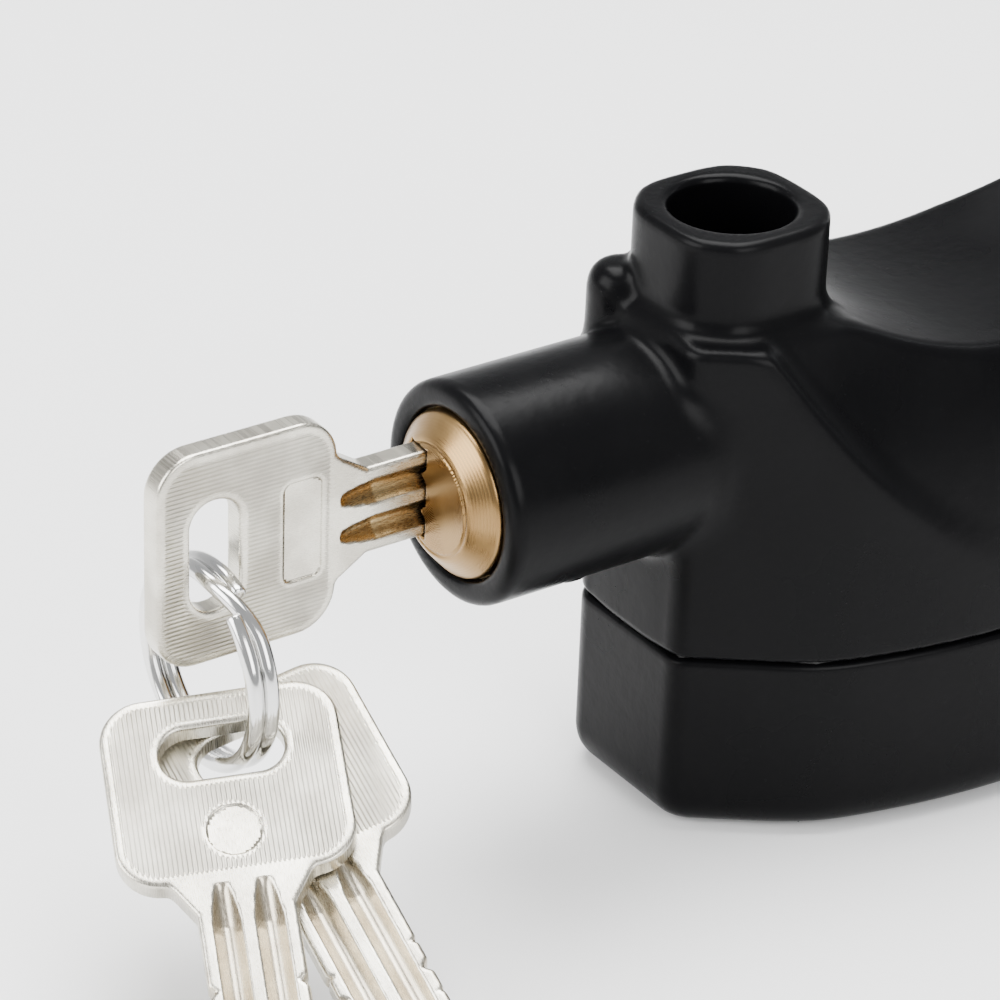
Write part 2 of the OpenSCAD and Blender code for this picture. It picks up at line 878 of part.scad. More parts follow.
module battery_cradle() {
    color("#2c2d30")
        difference() {
            translate([row_x0 - 1.8, -cradle_y, wall + 0.05])
                cube([row_len + 3.6, 2 * cradle_y, cradle_top - wall]);
            for (sy = [-1, 1]) {
                along_row(sy * row_y, row_x0 - 0.9, row_len + 1.8, cell_d / 2 + 0.15);
                translate([row_x0 - 0.9, sy * row_y - cell_d / 2 - 0.15, cell_z])
                    cube([row_len + 1.8, cell_d + 0.3, cell_d]);
            }
            translate([row_x0, -cell_d + 2, 0])
                cube([row_len, 2 * cell_d - 4, wall + 3]);
        }
}

module battery_cells() {
    color("#c8cacc")
        for (sy = [-1, 1])
            for (k = [0:cells_in_row - 1])
                translate([row_x0 + 0.2 + k * cell_t, sy * row_y, cell_z])
                    rotate([0, 90, 0])
                        union() {
                            cylinder(h = cell_t - 0.8, r = cell_d / 2);
                            cylinder(h = cell_t - 0.1, r = cell_d / 2 - 1.2);
                        }
}

module contact_strip() {
    color("#b9b2a0")
        translate([row_x0 + row_len + 0.2, -row_y - 4, cell_z + 0.1])
            cube([0.4, 2 * row_y + 8, 2]);
}

module contact_springs() {
    color("#b9b2a0")
        for (sy = [-1, 1])
            translate([row_x0 - 0.6, sy * row_y, cell_z])
                rotate([0, 90, 0])
                    union() {
                        cylinder(h = 0.3, r = 4);
                        cylinder(h = 0.7, r = 1.6);
                    }
}

module battery_door() {
    color("#202124")
        difference() {
            translate([door_x0 + 0.2, -door_y + 0.2, 0])
                cube([door_x1 - door_x0 - 0.4, 2 * door_y - 0.4, door_t - 0.4]);
            translate([door_screw_x, 0, -eps])
                cylinder(h = door_t + 1, r = 1.1);
            translate([door_screw_x, 0, -eps])
                cylinder(h = 0.9, r = 1.7);
            for (k = [0:3])
                translate([door_x0 + 2 + k * 1.6, -4, -eps])
                    cube([0.7, 8, 0.4]);
        }
}

module door_gasket() {
    color("#0d0d0e")
        translate([0, 0, door_t - 0.4])
            difference() {
                translate([hatch_x0 - 0.9, -hatch_y - 0.6, 0])
                    cube([hatch_x1 - hatch_x0 + 1.8, 2 * hatch_y + 1.2, 0.58]);
                translate([hatch_x0, -hatch_y, -1])
                    cube([hatch_x1 - hatch_x0, 2 * hatch_y, 2]);
            }
}

module door_screw() {
    color("silver")
        translate([door_screw_x, 0, 0.1])
            screw(0.88, 1.6, 0.75, wall - 0.2);
}

upper_housing();
base_cover();
cover_gasket();
cover_screws();
lock_sleeve();
sleeve_pin();
bolt_stop_pin();
locking_bolt();
lock_plug();
plug_clip();
tumbler_wafers();
main_key();
split_ring();
spare_key_a();
spare_key_b();
shackle_bar();
friction_ring();
arming_plunger();
plunger_spring();
plunger_seal();
circuit_board();
board_screws();
control_chip();
vibration_sensor();
boost_coil();
smoothing_capacitor();
arming_switch();
piezo_siren();
siren_gasket();
battery_cradle();
battery_cells();
contact_strip();
contact_springs();
battery_door();
door_gasket();
door_screw();
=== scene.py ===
# %% [markdown]
# # Disc brake lock
# A lock for the brake disc of a motorcycle, with an alarm in its deep cover. The CAD
# part is loaded as a fixed frame, which says where everything is. The pieces that show
# are rebuilt here as smooth surfaces in the same places, because CAD fillets are too few
# and too sharp for a casting. The small inner pieces keep their CAD shape, which is
# exact already. Every piece gets a procedural material.

import math

import bpy
import numpy as np
from mathutils import Matrix, Vector


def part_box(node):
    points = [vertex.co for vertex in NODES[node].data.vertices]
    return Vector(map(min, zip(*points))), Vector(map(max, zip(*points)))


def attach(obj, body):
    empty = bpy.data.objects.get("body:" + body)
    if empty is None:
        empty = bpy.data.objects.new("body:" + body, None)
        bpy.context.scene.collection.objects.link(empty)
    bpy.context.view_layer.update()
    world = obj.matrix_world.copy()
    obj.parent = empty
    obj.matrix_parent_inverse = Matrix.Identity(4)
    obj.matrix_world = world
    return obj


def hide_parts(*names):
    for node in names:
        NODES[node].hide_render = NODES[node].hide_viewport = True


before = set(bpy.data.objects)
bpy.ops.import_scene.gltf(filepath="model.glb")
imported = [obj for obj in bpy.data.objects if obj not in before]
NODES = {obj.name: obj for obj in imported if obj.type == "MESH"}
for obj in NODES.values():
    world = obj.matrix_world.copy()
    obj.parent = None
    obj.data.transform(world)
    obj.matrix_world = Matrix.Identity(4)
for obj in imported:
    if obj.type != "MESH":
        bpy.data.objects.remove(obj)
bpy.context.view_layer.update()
MM = 0.001


def node_box(name):
    """Lowest and highest corner of a CAD node, in millimetres."""
    low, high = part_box(name)
    return [c / MM for c in low], [c / MM for c in high]


COVER_LOW, COVER_HIGH = node_box("base_cover")
HOUSING_LOW, HOUSING_HIGH = node_box("upper_housing")
PLUG_LOW, PLUG_HIGH = node_box("lock_plug")
KEY_LOW, KEY_HIGH = node_box("main_key")
RING_LOW, RING_HIGH = node_box("split_ring")
BAR_LOW, BAR_HIGH = node_box("shackle_bar")
BOLT_LOW, _ = node_box("locking_bolt")

# %% [markdown]
# ## Surfaces from distance fields
# On the real casting, one form flows into the next with a rounded inner corner. That
# could be modelled with boxes and cylinders, Boolean modifiers and bevels, but a bevel
# fails where several rounded forms meet. So each piece is a field instead: a function
# that gives the signed distance to its surface, below zero inside. A smooth minimum
# joins two fields and rounds their corner, and a smooth maximum takes one out of
# another. A closed mesh is laid where the field crosses zero.

# %% Distance helpers


def smooth_max(a, b, r):
    """The larger of a and b, rounded where they meet.

    h runs from 0 to 1 as a - b goes from -r to r, and r h (1 - h) is added to the blend.
    """
    h = np.clip(0.5 + 0.5 * (a - b) / r, 0, 1)
    return b + (a - b) * h + r * h * (1 - h)


def smooth_min(a, b, r):
    """The smaller of a and b, with their corner filled: minus the smooth_max of -a and -b."""
    return -smooth_max(-a, -b, r)


def cut(a, b, r=0.3):
    """What is left of a when b is taken out of it, with the new edge rounded by r."""
    return smooth_max(a, -b, r)


def tube(u, v, radius):
    """Distance to a round bar: the length of (u, v) less the radius."""
    return np.sqrt(u * u + v * v) - radius


def slab(t, low, high):
    """Distance to the layer from low to high."""
    return np.maximum(low - t, t - high)


def block(x, y, z, low, high):
    """Distance to a box, as the farthest of its three layers."""
    return np.maximum.reduce([slab(t, a, b) for t, a, b in zip((x, y, z), low, high)])


def slope_of(field, p):
    """The field's gradient at points p, from differences over a small step."""
    step = 0.02
    g = np.empty_like(p)
    for axis in range(3):
        d = np.zeros(3)
        d[axis] = step
        g[:, axis] = (field(*(p + d).T) - field(*(p - d).T)) / (2 * step)
    return g


print("two equal distances, rounded over 1 mm, give", smooth_max(0.0, 0.0, 1.0), "mm more")

# %% [markdown]
# ## A mesh on a field
# A field becomes a mesh on a grid of cells. Marching cubes would cut triangles out of
# each cell, many of them slivers. A surface net gives each crossed cell one point and
# joins the points into quads, so the mesh is even. Its points are then moved onto the
# field's zero, because the average of a cell's crossings lies slightly inside a curve.

# %% Surface nets


def along_axis(axis, values, others):
    """An index of three slices: values on one axis, and the two of others on the rest."""
    index = list(others)
    index.insert(axis, values)
    return tuple(index)


def cell_points(f, cells):
    """Which cells the surface crosses, and where in them the crossings lie on average.

    Where f changes sign on an edge, from f0 to f1, it is zero at f0 / (f0 - f1) of its length.
    """
    inside = f < 0
    total = np.zeros((*cells, 3))
    crossings = np.zeros(cells)
    for axis in range(3):
        u, v = (k for k in range(3) if k != axis)
        for du in (0, 1):
            for dv in (0, 1):
                beside = (slice(du, du + cells[u]), slice(dv, dv + cells[v]))
                first = along_axis(axis, slice(0, cells[axis]), beside)
                second = along_axis(axis, slice(1, cells[axis] + 1), beside)
                hit = inside[first] != inside[second]
                total[..., axis] += np.where(hit, f[first] / np.where(hit, f[first] - f[second], 1), 0)
                total[..., u] += hit * du
                total[..., v] += hit * dv
                crossings += hit
    used = crossings > 0
    return used, total[used] / crossings[used][:, None]


def edge_quads(inside, number):
    """One quad for each crossed grid edge, through the points of the four cells round it.

    A quad is turned round where its edge leads inwards, so that every face points out.
    """
    cells = number.shape
    quads = []
    for axis in range(3):
        u, v = (axis + 1) % 3, (axis + 2) % 3
        core = [slice(1, c) for c in cells]
        core[axis] = slice(0, cells[axis])
        ahead = list(core)
        ahead[axis] = slice(1, cells[axis] + 1)
        a, b = inside[tuple(core)], inside[tuple(ahead)]
        at = np.argwhere(a != b)
        at[:, u] += 1
        at[:, v] += 1
        ring = []
        for du, dv in ((1, 1), (0, 1), (0, 0), (1, 0)):
            corner = at.copy()
            corner[:, u] -= du
            corner[:, v] -= dv
            ring.append(number[tuple(corner.T)])
        ring = np.stack(ring, 1)
        faces_up = (a & ~b)[a != b]
        quads.append(np.where(faces_up[:, None], ring, ring[:, ::-1]))
    return np.concatenate(quads)


# %% Points onto the surface

NEWTON_STEPS = 3
LEAST_SLOPE_SQUARED = 0.2
FARTHEST_MOVE = 0.6


def settle(field, p, cell):
    """Points drawn onto the surface, and its normals there.

    A Newton step takes f g / |g| squared from p, where g is the field's slope. No point
    goes farther than FARTHEST_MOVE of a cell along any axis.
    """
    start = p.copy()
    reach = FARTHEST_MOVE * cell
    for _ in range(NEWTON_STEPS):
        g = slope_of(field, p)
        p = p - (field(*p.T) / np.maximum((g * g).sum(1), LEAST_SLOPE_SQUARED))[:, None] * g
        p = start + np.clip(p - start, -reach, reach)
    g = slope_of(field, p)
    return p, g / np.maximum(np.linalg.norm(g, axis=1), 1e-9)[:, None]


def surface_net(field, low, high, cell):
    """Points, quads and outward normals of the surface where field is zero.

    Each grid cell that the surface crosses gets one point, which is then drawn onto it.
    The grid reaches 1.5 cells past low and high, so the surface closes inside it.
    """
    margin = 1.5 * cell
    low = np.array(low, float) - margin
    count = np.ceil((np.array(high) + margin - low) / cell).astype(int) + 1
    axes = [low[k] + cell * np.arange(count[k]) for k in range(3)]
    gy, gz = np.meshgrid(axes[1], axes[2], indexing="ij")
    f = np.stack([field(np.full_like(gy, x), gy, gz) for x in axes[0]])
    used, inner = cell_points(f, count - 1)
    number = np.full(used.shape, -1)
    number[used] = np.arange(used.sum())
    p, normals = settle(field, low + cell * (np.argwhere(used) + inner), cell)
    return p, edge_quads(f < 0, number), normals


def ball(x, y, z):
    """Distance to a ball of radius 5, to try the net on."""
    return np.sqrt(x * x + y * y + z * z) - 5


points, quads, normals = surface_net(ball, (-5, -5, -5), (5, 5, 5), 1.0)
print("a ball:", len(points), "points, at most", round(float(np.abs(ball(*points.T)).max()), 6), "mm off")

# %% [markdown]
# ## Mesh objects
# Arrays go straight into a mesh, with its place already in its points, so the object
# itself stays at the origin. The field's slope gives the exact normals, which keeps
# highlights smooth where the mesh is coarse.

# %% Meshes


def make_object(name, points_mm, quads, normals=None, placed=None, marks=None, uv=None):
    """A smooth mesh object from points in millimetres and quads, at the frame's origin.

    placed turns the points from the piece's own axes into the frame's. marks holds named
    values, one a point, and uv holds a flat coordinate, two a point.
    """
    p = np.asarray(points_mm, float)
    if placed is not None:
        turn = np.array(placed.to_3x3())
        p = p @ turn.T + np.array(placed.translation)
        normals = None if normals is None else normals @ turn.T
    mesh = bpy.data.meshes.new(name)
    mesh.vertices.add(len(p))
    mesh.vertices.foreach_set("co", (p * MM).astype(np.float32).ravel())
    quads = np.asarray(quads)
    mesh.loops.add(quads.size)
    mesh.loops.foreach_set("vertex_index", quads.astype(np.int32).ravel())
    mesh.polygons.add(len(quads))
    starts = np.arange(0, quads.size, quads.shape[1], dtype=np.int32)
    mesh.polygons.foreach_set("loop_start", starts)
    mesh.update(calc_edges=True)
    mesh.validate()
    mesh.shade_smooth()
    for key, values in (marks or {}).items():
        layer = mesh.attributes.new(key, "FLOAT", "POINT")
        layer.data.foreach_set("value", np.asarray(values, np.float32))
    if uv is not None:
        layer = mesh.uv_layers.new(name="own")
        corner = np.empty(len(mesh.loops), np.int32)
        mesh.loops.foreach_get("vertex_index", corner)
        layer.data.foreach_set("uv", np.asarray(uv, np.float32)[corner].ravel())
    if normals is not None:
        mesh.normals_split_custom_set_from_vertices(normals.tolist())
    made = bpy.data.objects.new(name, mesh)
    bpy.context.scene.collection.objects.link(made)
    return made


def swept_tube(centres, radius, sides):
    """Points and quads of a tube along centres.

    Each ring of points is the centre plus r (cos a side + sin a other). side is the last
    ring's, less its part along the path, so the tube doesn't twist.
    """
    c = np.asarray(centres, float)
    tangent = np.gradient(c, axis=0)
    tangent /= np.linalg.norm(tangent, axis=1)[:, None]
    side = np.cross(tangent[0], [0.3, 0.2, 1.0])
    angles = np.arange(sides) * 2 * math.pi / sides
    rows = []
    for centre, t, r in zip(c, tangent, radius):
        side = side - t * side.dot(t)
        side /= np.linalg.norm(side)
        other = np.cross(t, side)
        round_it = np.cos(angles)[:, None] * side + np.sin(angles)[:, None] * other
        rows.append(centre + r * round_it)
    i, j = np.meshgrid(np.arange(len(c) - 1), np.arange(sides), indexing="ij")
    here, there, over = i * sides, (i + 1) * sides, (j + 1) % sides
    quads = np.stack([here + j, there + j, there + over, here + over], -1).reshape(-1, 4)
    return np.concatenate(rows), quads[:, ::-1]


points, quads = swept_tube([(0, 0, 0), (0, 0, 1), (0, 0, 2)], [1, 1, 1], 8)
print("a straight tube of three rings:", len(points), "points and", len(quads), "quads")

# %% [markdown]
# ## Materials
# A finish could be wired by hand in the Shader Editor, but then nobody can read why two
# noises are added. Here a finish is a sum written in Python: Socket wraps one output of
# a node, and ordinary arithmetic on it adds Math nodes. Patterns follow the object
# coordinate, so they stay on a piece when it moves.

# %% Material language


class Socket:
    """One output of a node, which can be added, multiplied and so on."""

    def __init__(self, tree, out):
        self.tree, self.out = tree, out

    def node(self, kind, *inputs, out=0, **settings):
        """Adds a node of that kind and returns one of its outputs.

        Settings in small letters are the node's own and are set first. Those with a capital
        are its sockets by name, and inputs are its sockets in order.
        """
        made = self.tree.nodes.new("ShaderNode" + kind)
        for key, value in settings.items():
            if not key[0].isupper():
                setattr(made, key, value)
        for key, value in settings.items():
            if key[0].isupper():
                self.feed(made.inputs[key.replace("_", " ")], value)
        for place, value in enumerate(inputs):
            if value is not None:
                self.feed(made.inputs[place], value)
        return Socket(self.tree, made.outputs[out])

    def feed(self, place, value):
        """Links a socket to an input, or sets the input to a plain value."""
        if isinstance(value, Socket):
            self.tree.links.new(value.out, place)
        else:
            place.default_value = value

    def math(self, operation, *inputs):
        """One Math node."""
        return self.node("Math", *inputs, operation=operation)

    def __add__(self, other):
        return self.math("ADD", self, other)

    def __mul__(self, other):
        return self.math("MULTIPLY", self, other)

    def __sub__(self, other):
        return self.math("SUBTRACT", self, other)

    def __rsub__(self, other):
        return self.math("SUBTRACT", other, self)

    def __pow__(self, other):
        return self.math("POWER", self, other)

    def __rpow__(self, other):
        return self.math("POWER", other, self)

    __radd__, __rmul__ = __add__, __mul__

    def sine(self):
        """The sine of the value, in radians."""
        return self.math("SINE", self)

    def ramp(self, low, high, to_low=0.0, to_high=1.0):
        """Runs smoothly from to_low to to_high as the value goes from low to high."""
        return self.node("MapRange", self, low, high, to_low, to_high, interpolation_type="SMOOTHSTEP")

    def noise(self, scale, detail=3.0):
        """Cloudy noise from 0 to 1, with scale clouds to the metre."""
        return self.node("TexNoise", Vector=self, Scale=scale, Detail=detail, Roughness=0.5)

    def stretched(self, x=1.0, y=1.0, z=1.0):
        """The coordinate, scaled along each axis."""
        return self.node("Mapping", Vector=self, Scale=(x, y, z))

    def parts(self):
        """The coordinate's x, y and z."""
        made = self.node("SeparateXYZ", self).out.node
        return [Socket(self.tree, o) for o in made.outputs]

    def blend(self, first, second):
        """A colour between first and second, by this value."""
        mixed = self.node("Mix", data_type="RGBA", out=2, Factor=self)
        self.feed(mixed.out.node.inputs[6], first)
        self.feed(mixed.out.node.inputs[7], second)
        return mixed

    def bump(self, distance, strength=1.0):
        """A normal from this height, where distance is the size of one unit in metres."""
        return self.node("Bump", Height=self, Distance=distance, Strength=strength)


# %% A new material


class Material:
    """A new material with its principled shader and a place coordinate to build on."""

    def __init__(self, name):
        self.made = bpy.data.materials.new(name)
        self.made.use_nodes = True
        self.tree = self.made.node_tree
        self.shader = self.tree.nodes["Principled BSDF"]
        self.start = Socket(self.tree, None)
        self.place = self.start.node("TexCoord", out=3)
        self.own = self.start.node("TexCoord", out=2)

    def mark(self, name):
        """A value stored on the mesh's points."""
        return self.start.node("Attribute", attribute_name=name, out=2)

    def finish(self, **inputs):
        """Sets the principled shader's inputs and returns the material."""
        for key, value in inputs.items():
            self.start.feed(self.shader.inputs[key.replace("_", " ")], value)
        return self.made


def rgb(r, g, b):
    """A colour with full alpha."""
    return (r, g, b, 1.0)


def waves(length):
    """What a coordinate in metres is multiplied by, so that its sine repeats every length."""
    return 2 * math.pi / length


print("ribs 0.4 mm apart take", round(waves(0.4), 3), "radians a millimetre")

# %% [markdown]
# ## Finishes
# The castings are powder coated: black, with a fine orange peel and soft highlights. The
# plug is turned brass, so its marks run in circles. The keys are nickel plated, ribbed on
# the bow, and brass where they were cut after plating. Image textures would need every
# piece laid out flat, so the patterns are noises and waves of the coordinate instead.
# Each finish varies its colour and roughness a little, because even colour looks like
# plastic.

# %% Material recipes


def coated_casting():
    """Black powder coat: two noises make the orange peel, and a third adds faint dust."""
    m = Material("black_coat")
    peel = m.place.noise(900, 2.0)
    cloud = m.place.noise(55, 4.0)
    dust = m.place.noise(2600, 2.0).ramp(0.68, 0.80)
    shade = (cloud * 0.6 + dust * 0.25).ramp(0.2, 0.9)
    return m.finish(Base_Color=shade.blend(rgb(0.0018, 0.0018, 0.0021), rgb(0.0065, 0.0065, 0.007)),
        Roughness=cloud.ramp(0.3, 0.7, 0.24, 0.33) + dust * 0.2, Specular_IOR_Level=0.06,
        Normal=(peel * 0.7 + m.place.noise(300, 2.0) * 0.8).bump(0.00006, 0.5))


def turned_brass():
    """Brass with turning marks: a sine of the distance from the barrel's axis."""
    m = Material("turned_brass")
    _, y, z = m.place.parts()
    z = z - PLUG_AXIS_Z * MM
    radius = (y * y + z * z) ** 0.5
    grain = (radius * waves(0.00022) + m.place.noise(300) * 3).sine()
    tone = m.place.noise(140, 4.0).ramp(0.3, 0.75)
    return m.finish(Base_Color=tone.blend(rgb(0.22, 0.13, 0.052), rgb(0.35, 0.225, 0.095)), Metallic=1.0,
        Roughness=tone.ramp(0, 1, 0.26, 0.38) + grain * 0.03,
        Normal=(grain * 0.5 + 0.5).bump(0.000007, 0.6))


def plain_brass(name, first, second):
    """Stamped brass with a cloudy tone and fine drawn lines."""
    m = Material(name)
    lines = m.place.stretched(60, 900, 900).noise(4, 3.0)
    tone = m.place.noise(160, 3.0)
    return m.finish(Base_Color=tone.ramp(0.3, 0.7).blend(first, second), Metallic=1.0,
        Roughness=tone.ramp(0.3, 0.7, 0.28, 0.42), Normal=lines.bump(0.00002, 0.5))


# %% Keys, bright metal and mouldings


def key_nickel():
    """Nickel plate: fine ribs across the bow, smooth panels, and brass where the blade is cut."""
    m = Material("key_nickel")
    _, across, _ = m.own.parts()
    ribs = (across * waves(0.4)).sine()
    ribbed = m.mark("ribbed")
    bare = m.mark("bare")
    scuff = m.own.stretched(0.5, 4, 1).noise(3.0, 4.0)
    tone = m.place.noise(240, 4.0).ramp(0.35, 0.7)
    plate = tone.blend(rgb(0.50, 0.47, 0.40), rgb(0.68, 0.65, 0.56))
    return m.finish(Base_Color=bare.blend(plate, rgb(0.38, 0.27, 0.13)), Metallic=1.0,
        Roughness=scuff.ramp(0.35, 0.65, 0.22, 0.34) + ribbed * 0.06,
        Normal=(ribs * ribbed * 0.5 + scuff * 0.12).bump(0.00009, 0.9))


def bright_metal(name, colour, shadow, rough, grain=400):
    """Polished or drawn metal with faint smears and hairlines."""
    m = Material(name)
    smear = m.place.noise(90, 4.0).ramp(0.3, 0.75)
    hair = m.place.stretched(grain, grain, grain * 0.08).noise(3.0, 3.0)
    return m.finish(Base_Color=smear.blend(shadow, colour), Metallic=1.0,
        Roughness=smear.ramp(0, 1, rough, rough + 0.1), Normal=hair.bump(0.00001, 0.4))


def moulded(name, colour, pale, rough=0.5, size=700, coat=0.0):
    """Moulded plastic or rubber with a fine grain."""
    m = Material(name)
    grain = m.place.noise(size, 3.0)
    tone = m.place.noise(120, 3.0).ramp(0.3, 0.7)
    return m.finish(Base_Color=tone.blend(colour, pale), Roughness=tone.ramp(0, 1, rough, rough + 0.12),
        Coat_Weight=coat, Normal=grain.bump(0.00004, 0.5))


def solder_mask():
    """Green board with copper tracks under the mask."""
    m = Material("solder_mask")
    x, y, _ = m.place.parts()
    track = ((x * 3200).sine() + (y * 2600 + (x * 900).sine() * 2).sine()).ramp(0.55, 0.75)
    weave = m.place.noise(900, 2.0)
    return m.finish(Base_Color=track.blend(rgb(0.008, 0.10, 0.035), rgb(0.02, 0.20, 0.07)),
        Roughness=track.ramp(0, 1, 0.3, 0.22), Coat_Weight=0.4,
        Normal=(track * 0.8 + weave * 0.2).bump(0.00004, 0.6))


def wound_copper():
    """Enamelled wire wound round a core, with painted shade in the grooves between the turns."""
    m = Material("wound_copper")
    _, _, z = m.place.parts()
    turns = (z * waves(0.00025)).sine()
    # The colour goes from dark in the grooves between the turns, which is painted shade, to bright copper
    # on the crowns of the turns.
    return m.finish(Base_Color=turns.ramp(-1, 1).blend(rgb(0.20, 0.06, 0.02), rgb(0.62, 0.26, 0.10)),
        Roughness=turns.ramp(-1, 1, 0.45, 0.28), Metallic=0.6, Normal=(turns * 0.5).bump(0.0001, 0.8))


PLUG_AXIS_Z = (PLUG_LOW[2] + PLUG_HIGH[2]) / 2
print("barrel axis at z =", round(PLUG_AXIS_Z, 2), "mm")

# %% The finishes of this lock

COAT = coated_casting()
BRASS = turned_brass()
NICKEL = key_nickel()
CHROME = bright_metal("bright_nickel", rgb(0.78, 0.77, 0.75), rgb(0.66, 0.66, 0.65), 0.1)
SHACKLE = bright_metal("hard_chrome", rgb(0.62, 0.63, 0.64), rgb(0.5, 0.51, 0.53), 0.16, 240)
STEEL = bright_metal("plain_steel", rgb(0.56, 0.56, 0.57), rgb(0.42, 0.42, 0.43), 0.3)
RUBBER = moulded("black_rubber", rgb(0.012, 0.012, 0.012), rgb(0.03, 0.03, 0.03), 0.7)
PLASTIC = moulded("black_plastic", rgb(0.014, 0.014, 0.016), rgb(0.035, 0.035, 0.038), 0.45)
NYLON = moulded("natural_nylon", rgb(0.62, 0.60, 0.54), rgb(0.74, 0.73, 0.68), 0.4)
SLEEVE_BLUE = moulded("blue_sleeve", rgb(0.02, 0.04, 0.15), rgb(0.04, 0.08, 0.26), 0.25, 500, 0.3)
BOARD = solder_mask()
COPPER = wound_copper()
STAMPED = plain_brass("stamped_brass", rgb(0.55, 0.40, 0.18), rgb(0.76, 0.58, 0.30))
SLEEVE = plain_brass("sleeve_brass", rgb(0.50, 0.36, 0.18), rgb(0.70, 0.52, 0.28))
GOLD_CAN = plain_brass("plated_can", rgb(0.62, 0.46, 0.16), rgb(0.80, 0.64, 0.28))
CELL = bright_metal("cell_can", rgb(0.70, 0.70, 0.69), rgb(0.58, 0.58, 0.58), 0.22)
print("finishes:", COAT.name, BRASS.name, NICKEL.name, CHROME.name, "and others")


def dress(made, body, material, nodes):
    """Gives a new piece its material, its body, and the CAD nodes it stands for."""
    made.data.materials.append(material)
    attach(made, body)
    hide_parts(*nodes)
    print(made.name, "has", len(made.data.vertices), "points and rides on", body)
    return made


# %% [markdown]
# ## Upper housing
# The upper housing is a zinc casting that holds the two sockets for the shackle and the
# barrel for the lock. Its block is the plan outline, leaned in at the front and back.
# The saddle is taken out of its top, to clear the rim of the brake disc, and a shallow
# hollow below the saddle ends in a ridge that climbs to each tower. The same block could
# be a subdivided cage, but its ridge would then need edge loops wherever a tower or the
# barrel meets it. In a field each form is one line, and the blends follow by themselves.

# %% Sizes of the housing

SEAM_Z = COVER_HIGH[2] + 0.4
SEAM_LAP = 0.14
HALF_LEN = COVER_HIGH[0]
HALF_WIDTH = COVER_HIGH[1]
BODY_TOP = HOUSING_HIGH[2]
SOCKET_X = 26.0
SOCKET_R = 5.5
DECK_Z = 48.0
SADDLE_R, SADDLE_Z = 40.0, 43.1
LEAN_H = 46.0
RIDGE_Z, RIDGE_RISE = 23.0, 0.029
END_Y, SHOULDER_X, SHOULDER_Y = 7.3, 24.9, 14.8
BARREL_END, BARREL_R, SLEEVE_R = HOUSING_LOW[0], 10.0, 7.6
LEFT_FLOOR, RIGHT_FLOOR = 30.0, 16.2
TOWER_R, TOWER_FLAT = 8.5, 7.75
BOLT_X0, BOLT_X1 = BOLT_LOW[0], BOLT_LOW[0] + 2.5
STOP_PIN = (BOLT_X0 + 1.25, 6.0)
SLEEVE_PIN_X = BARREL_END + 12
SCREWS = ((-26.8, 7.6), (18.5, 12.2))
BOARD_POSTS = ((27.4, 5.7),)
facet = np.array([SHOULDER_Y - END_Y, HALF_LEN - SHOULDER_X])
facet = facet / np.linalg.norm(facet)
ARC_R = (SHOULDER_X ** 2 + (HALF_WIDTH - SHOULDER_Y) ** 2) / (2 * (HALF_WIDTH - SHOULDER_Y))
print("the long sides are arcs of radius", round(ARC_R, 1), "mm")

# %% Outline and hollows


def plan(x, y, inset=0.0, r=1.2):
    """Distance to the plan outline, the largest of those to its ends, facets and arcs."""
    ax, ay = np.abs(x), np.abs(y)
    ends = ax - HALF_LEN
    facets = facet[0] * (ax - HALF_LEN) + facet[1] * (ay - END_Y)
    arcs = np.hypot(ax, ay + ARC_R - HALF_WIDTH) - ARC_R
    return smooth_max(smooth_max(ends, facets, r), arcs, r) + inset


def hollow(x, z):
    """How far the front and back are drawn in above a ridge that climbs to each tower.

    The ridge is a parabola, lowest in the middle. Above it the step is its depth times
    1 - (1 - t) squared, where t goes from 0 to 1 over the step's height. The depth grows
    from the middle to the towers.
    """
    step_height, least_depth, more_depth = 4.5, 0.35, 1.4
    above = np.minimum(smooth_max((z - RIDGE_Z - RIDGE_RISE * x * x) / step_height, 0, 0.2), 1)
    depth = least_depth + more_depth * np.clip((np.abs(x) - 8) / 18, 0, 1)
    return depth * (1 - (1 - above) ** 2)


def lean(x, y, z):
    """Distance to the front and back, which lean in by the square of the height.

    Dividing by the slant's length turns a distance along y into one across the surface.
    """
    rise = np.maximum(z - SEAM_Z, 0) / LEAN_H
    slant = np.hypot(1, 2 * HALF_WIDTH * rise / LEAN_H)
    return (np.abs(y) + hollow(x, z) - HALF_WIDTH * (1 - rise ** 2)) / slant


def tower(x, y, z, at):
    """Distance to a socket tower: a bar with four flats and a softly rounded rim."""
    u = x - at
    d = smooth_max(tube(u, y, TOWER_R), np.abs(u) - TOWER_FLAT, 0.9)
    d = smooth_max(d, np.abs(y) - TOWER_FLAT, 0.9)
    return smooth_max(smooth_max(d, z - BODY_TOP, 1.0), SEAM_Z - z, 0.2)


print("beside a tower the front is drawn in by", round(float(hollow(18.0, 45.0)), 2), "mm")

# %% Solid forms and bores of the housing


def housing_block(x, y, z):
    """Distance to the block: the plan and the leaning sides, under the deck and the saddle."""
    d = smooth_max(plan(x, y), lean(x, y, z), 0.8)
    d = smooth_max(d, z - DECK_Z - 0.15, 1.2)
    d = smooth_max(d, SADDLE_R - np.hypot(x, z - SADDLE_Z - SADDLE_R), 1.2)
    return smooth_max(d, SEAM_Z - SEAM_LAP - z, 0.8)


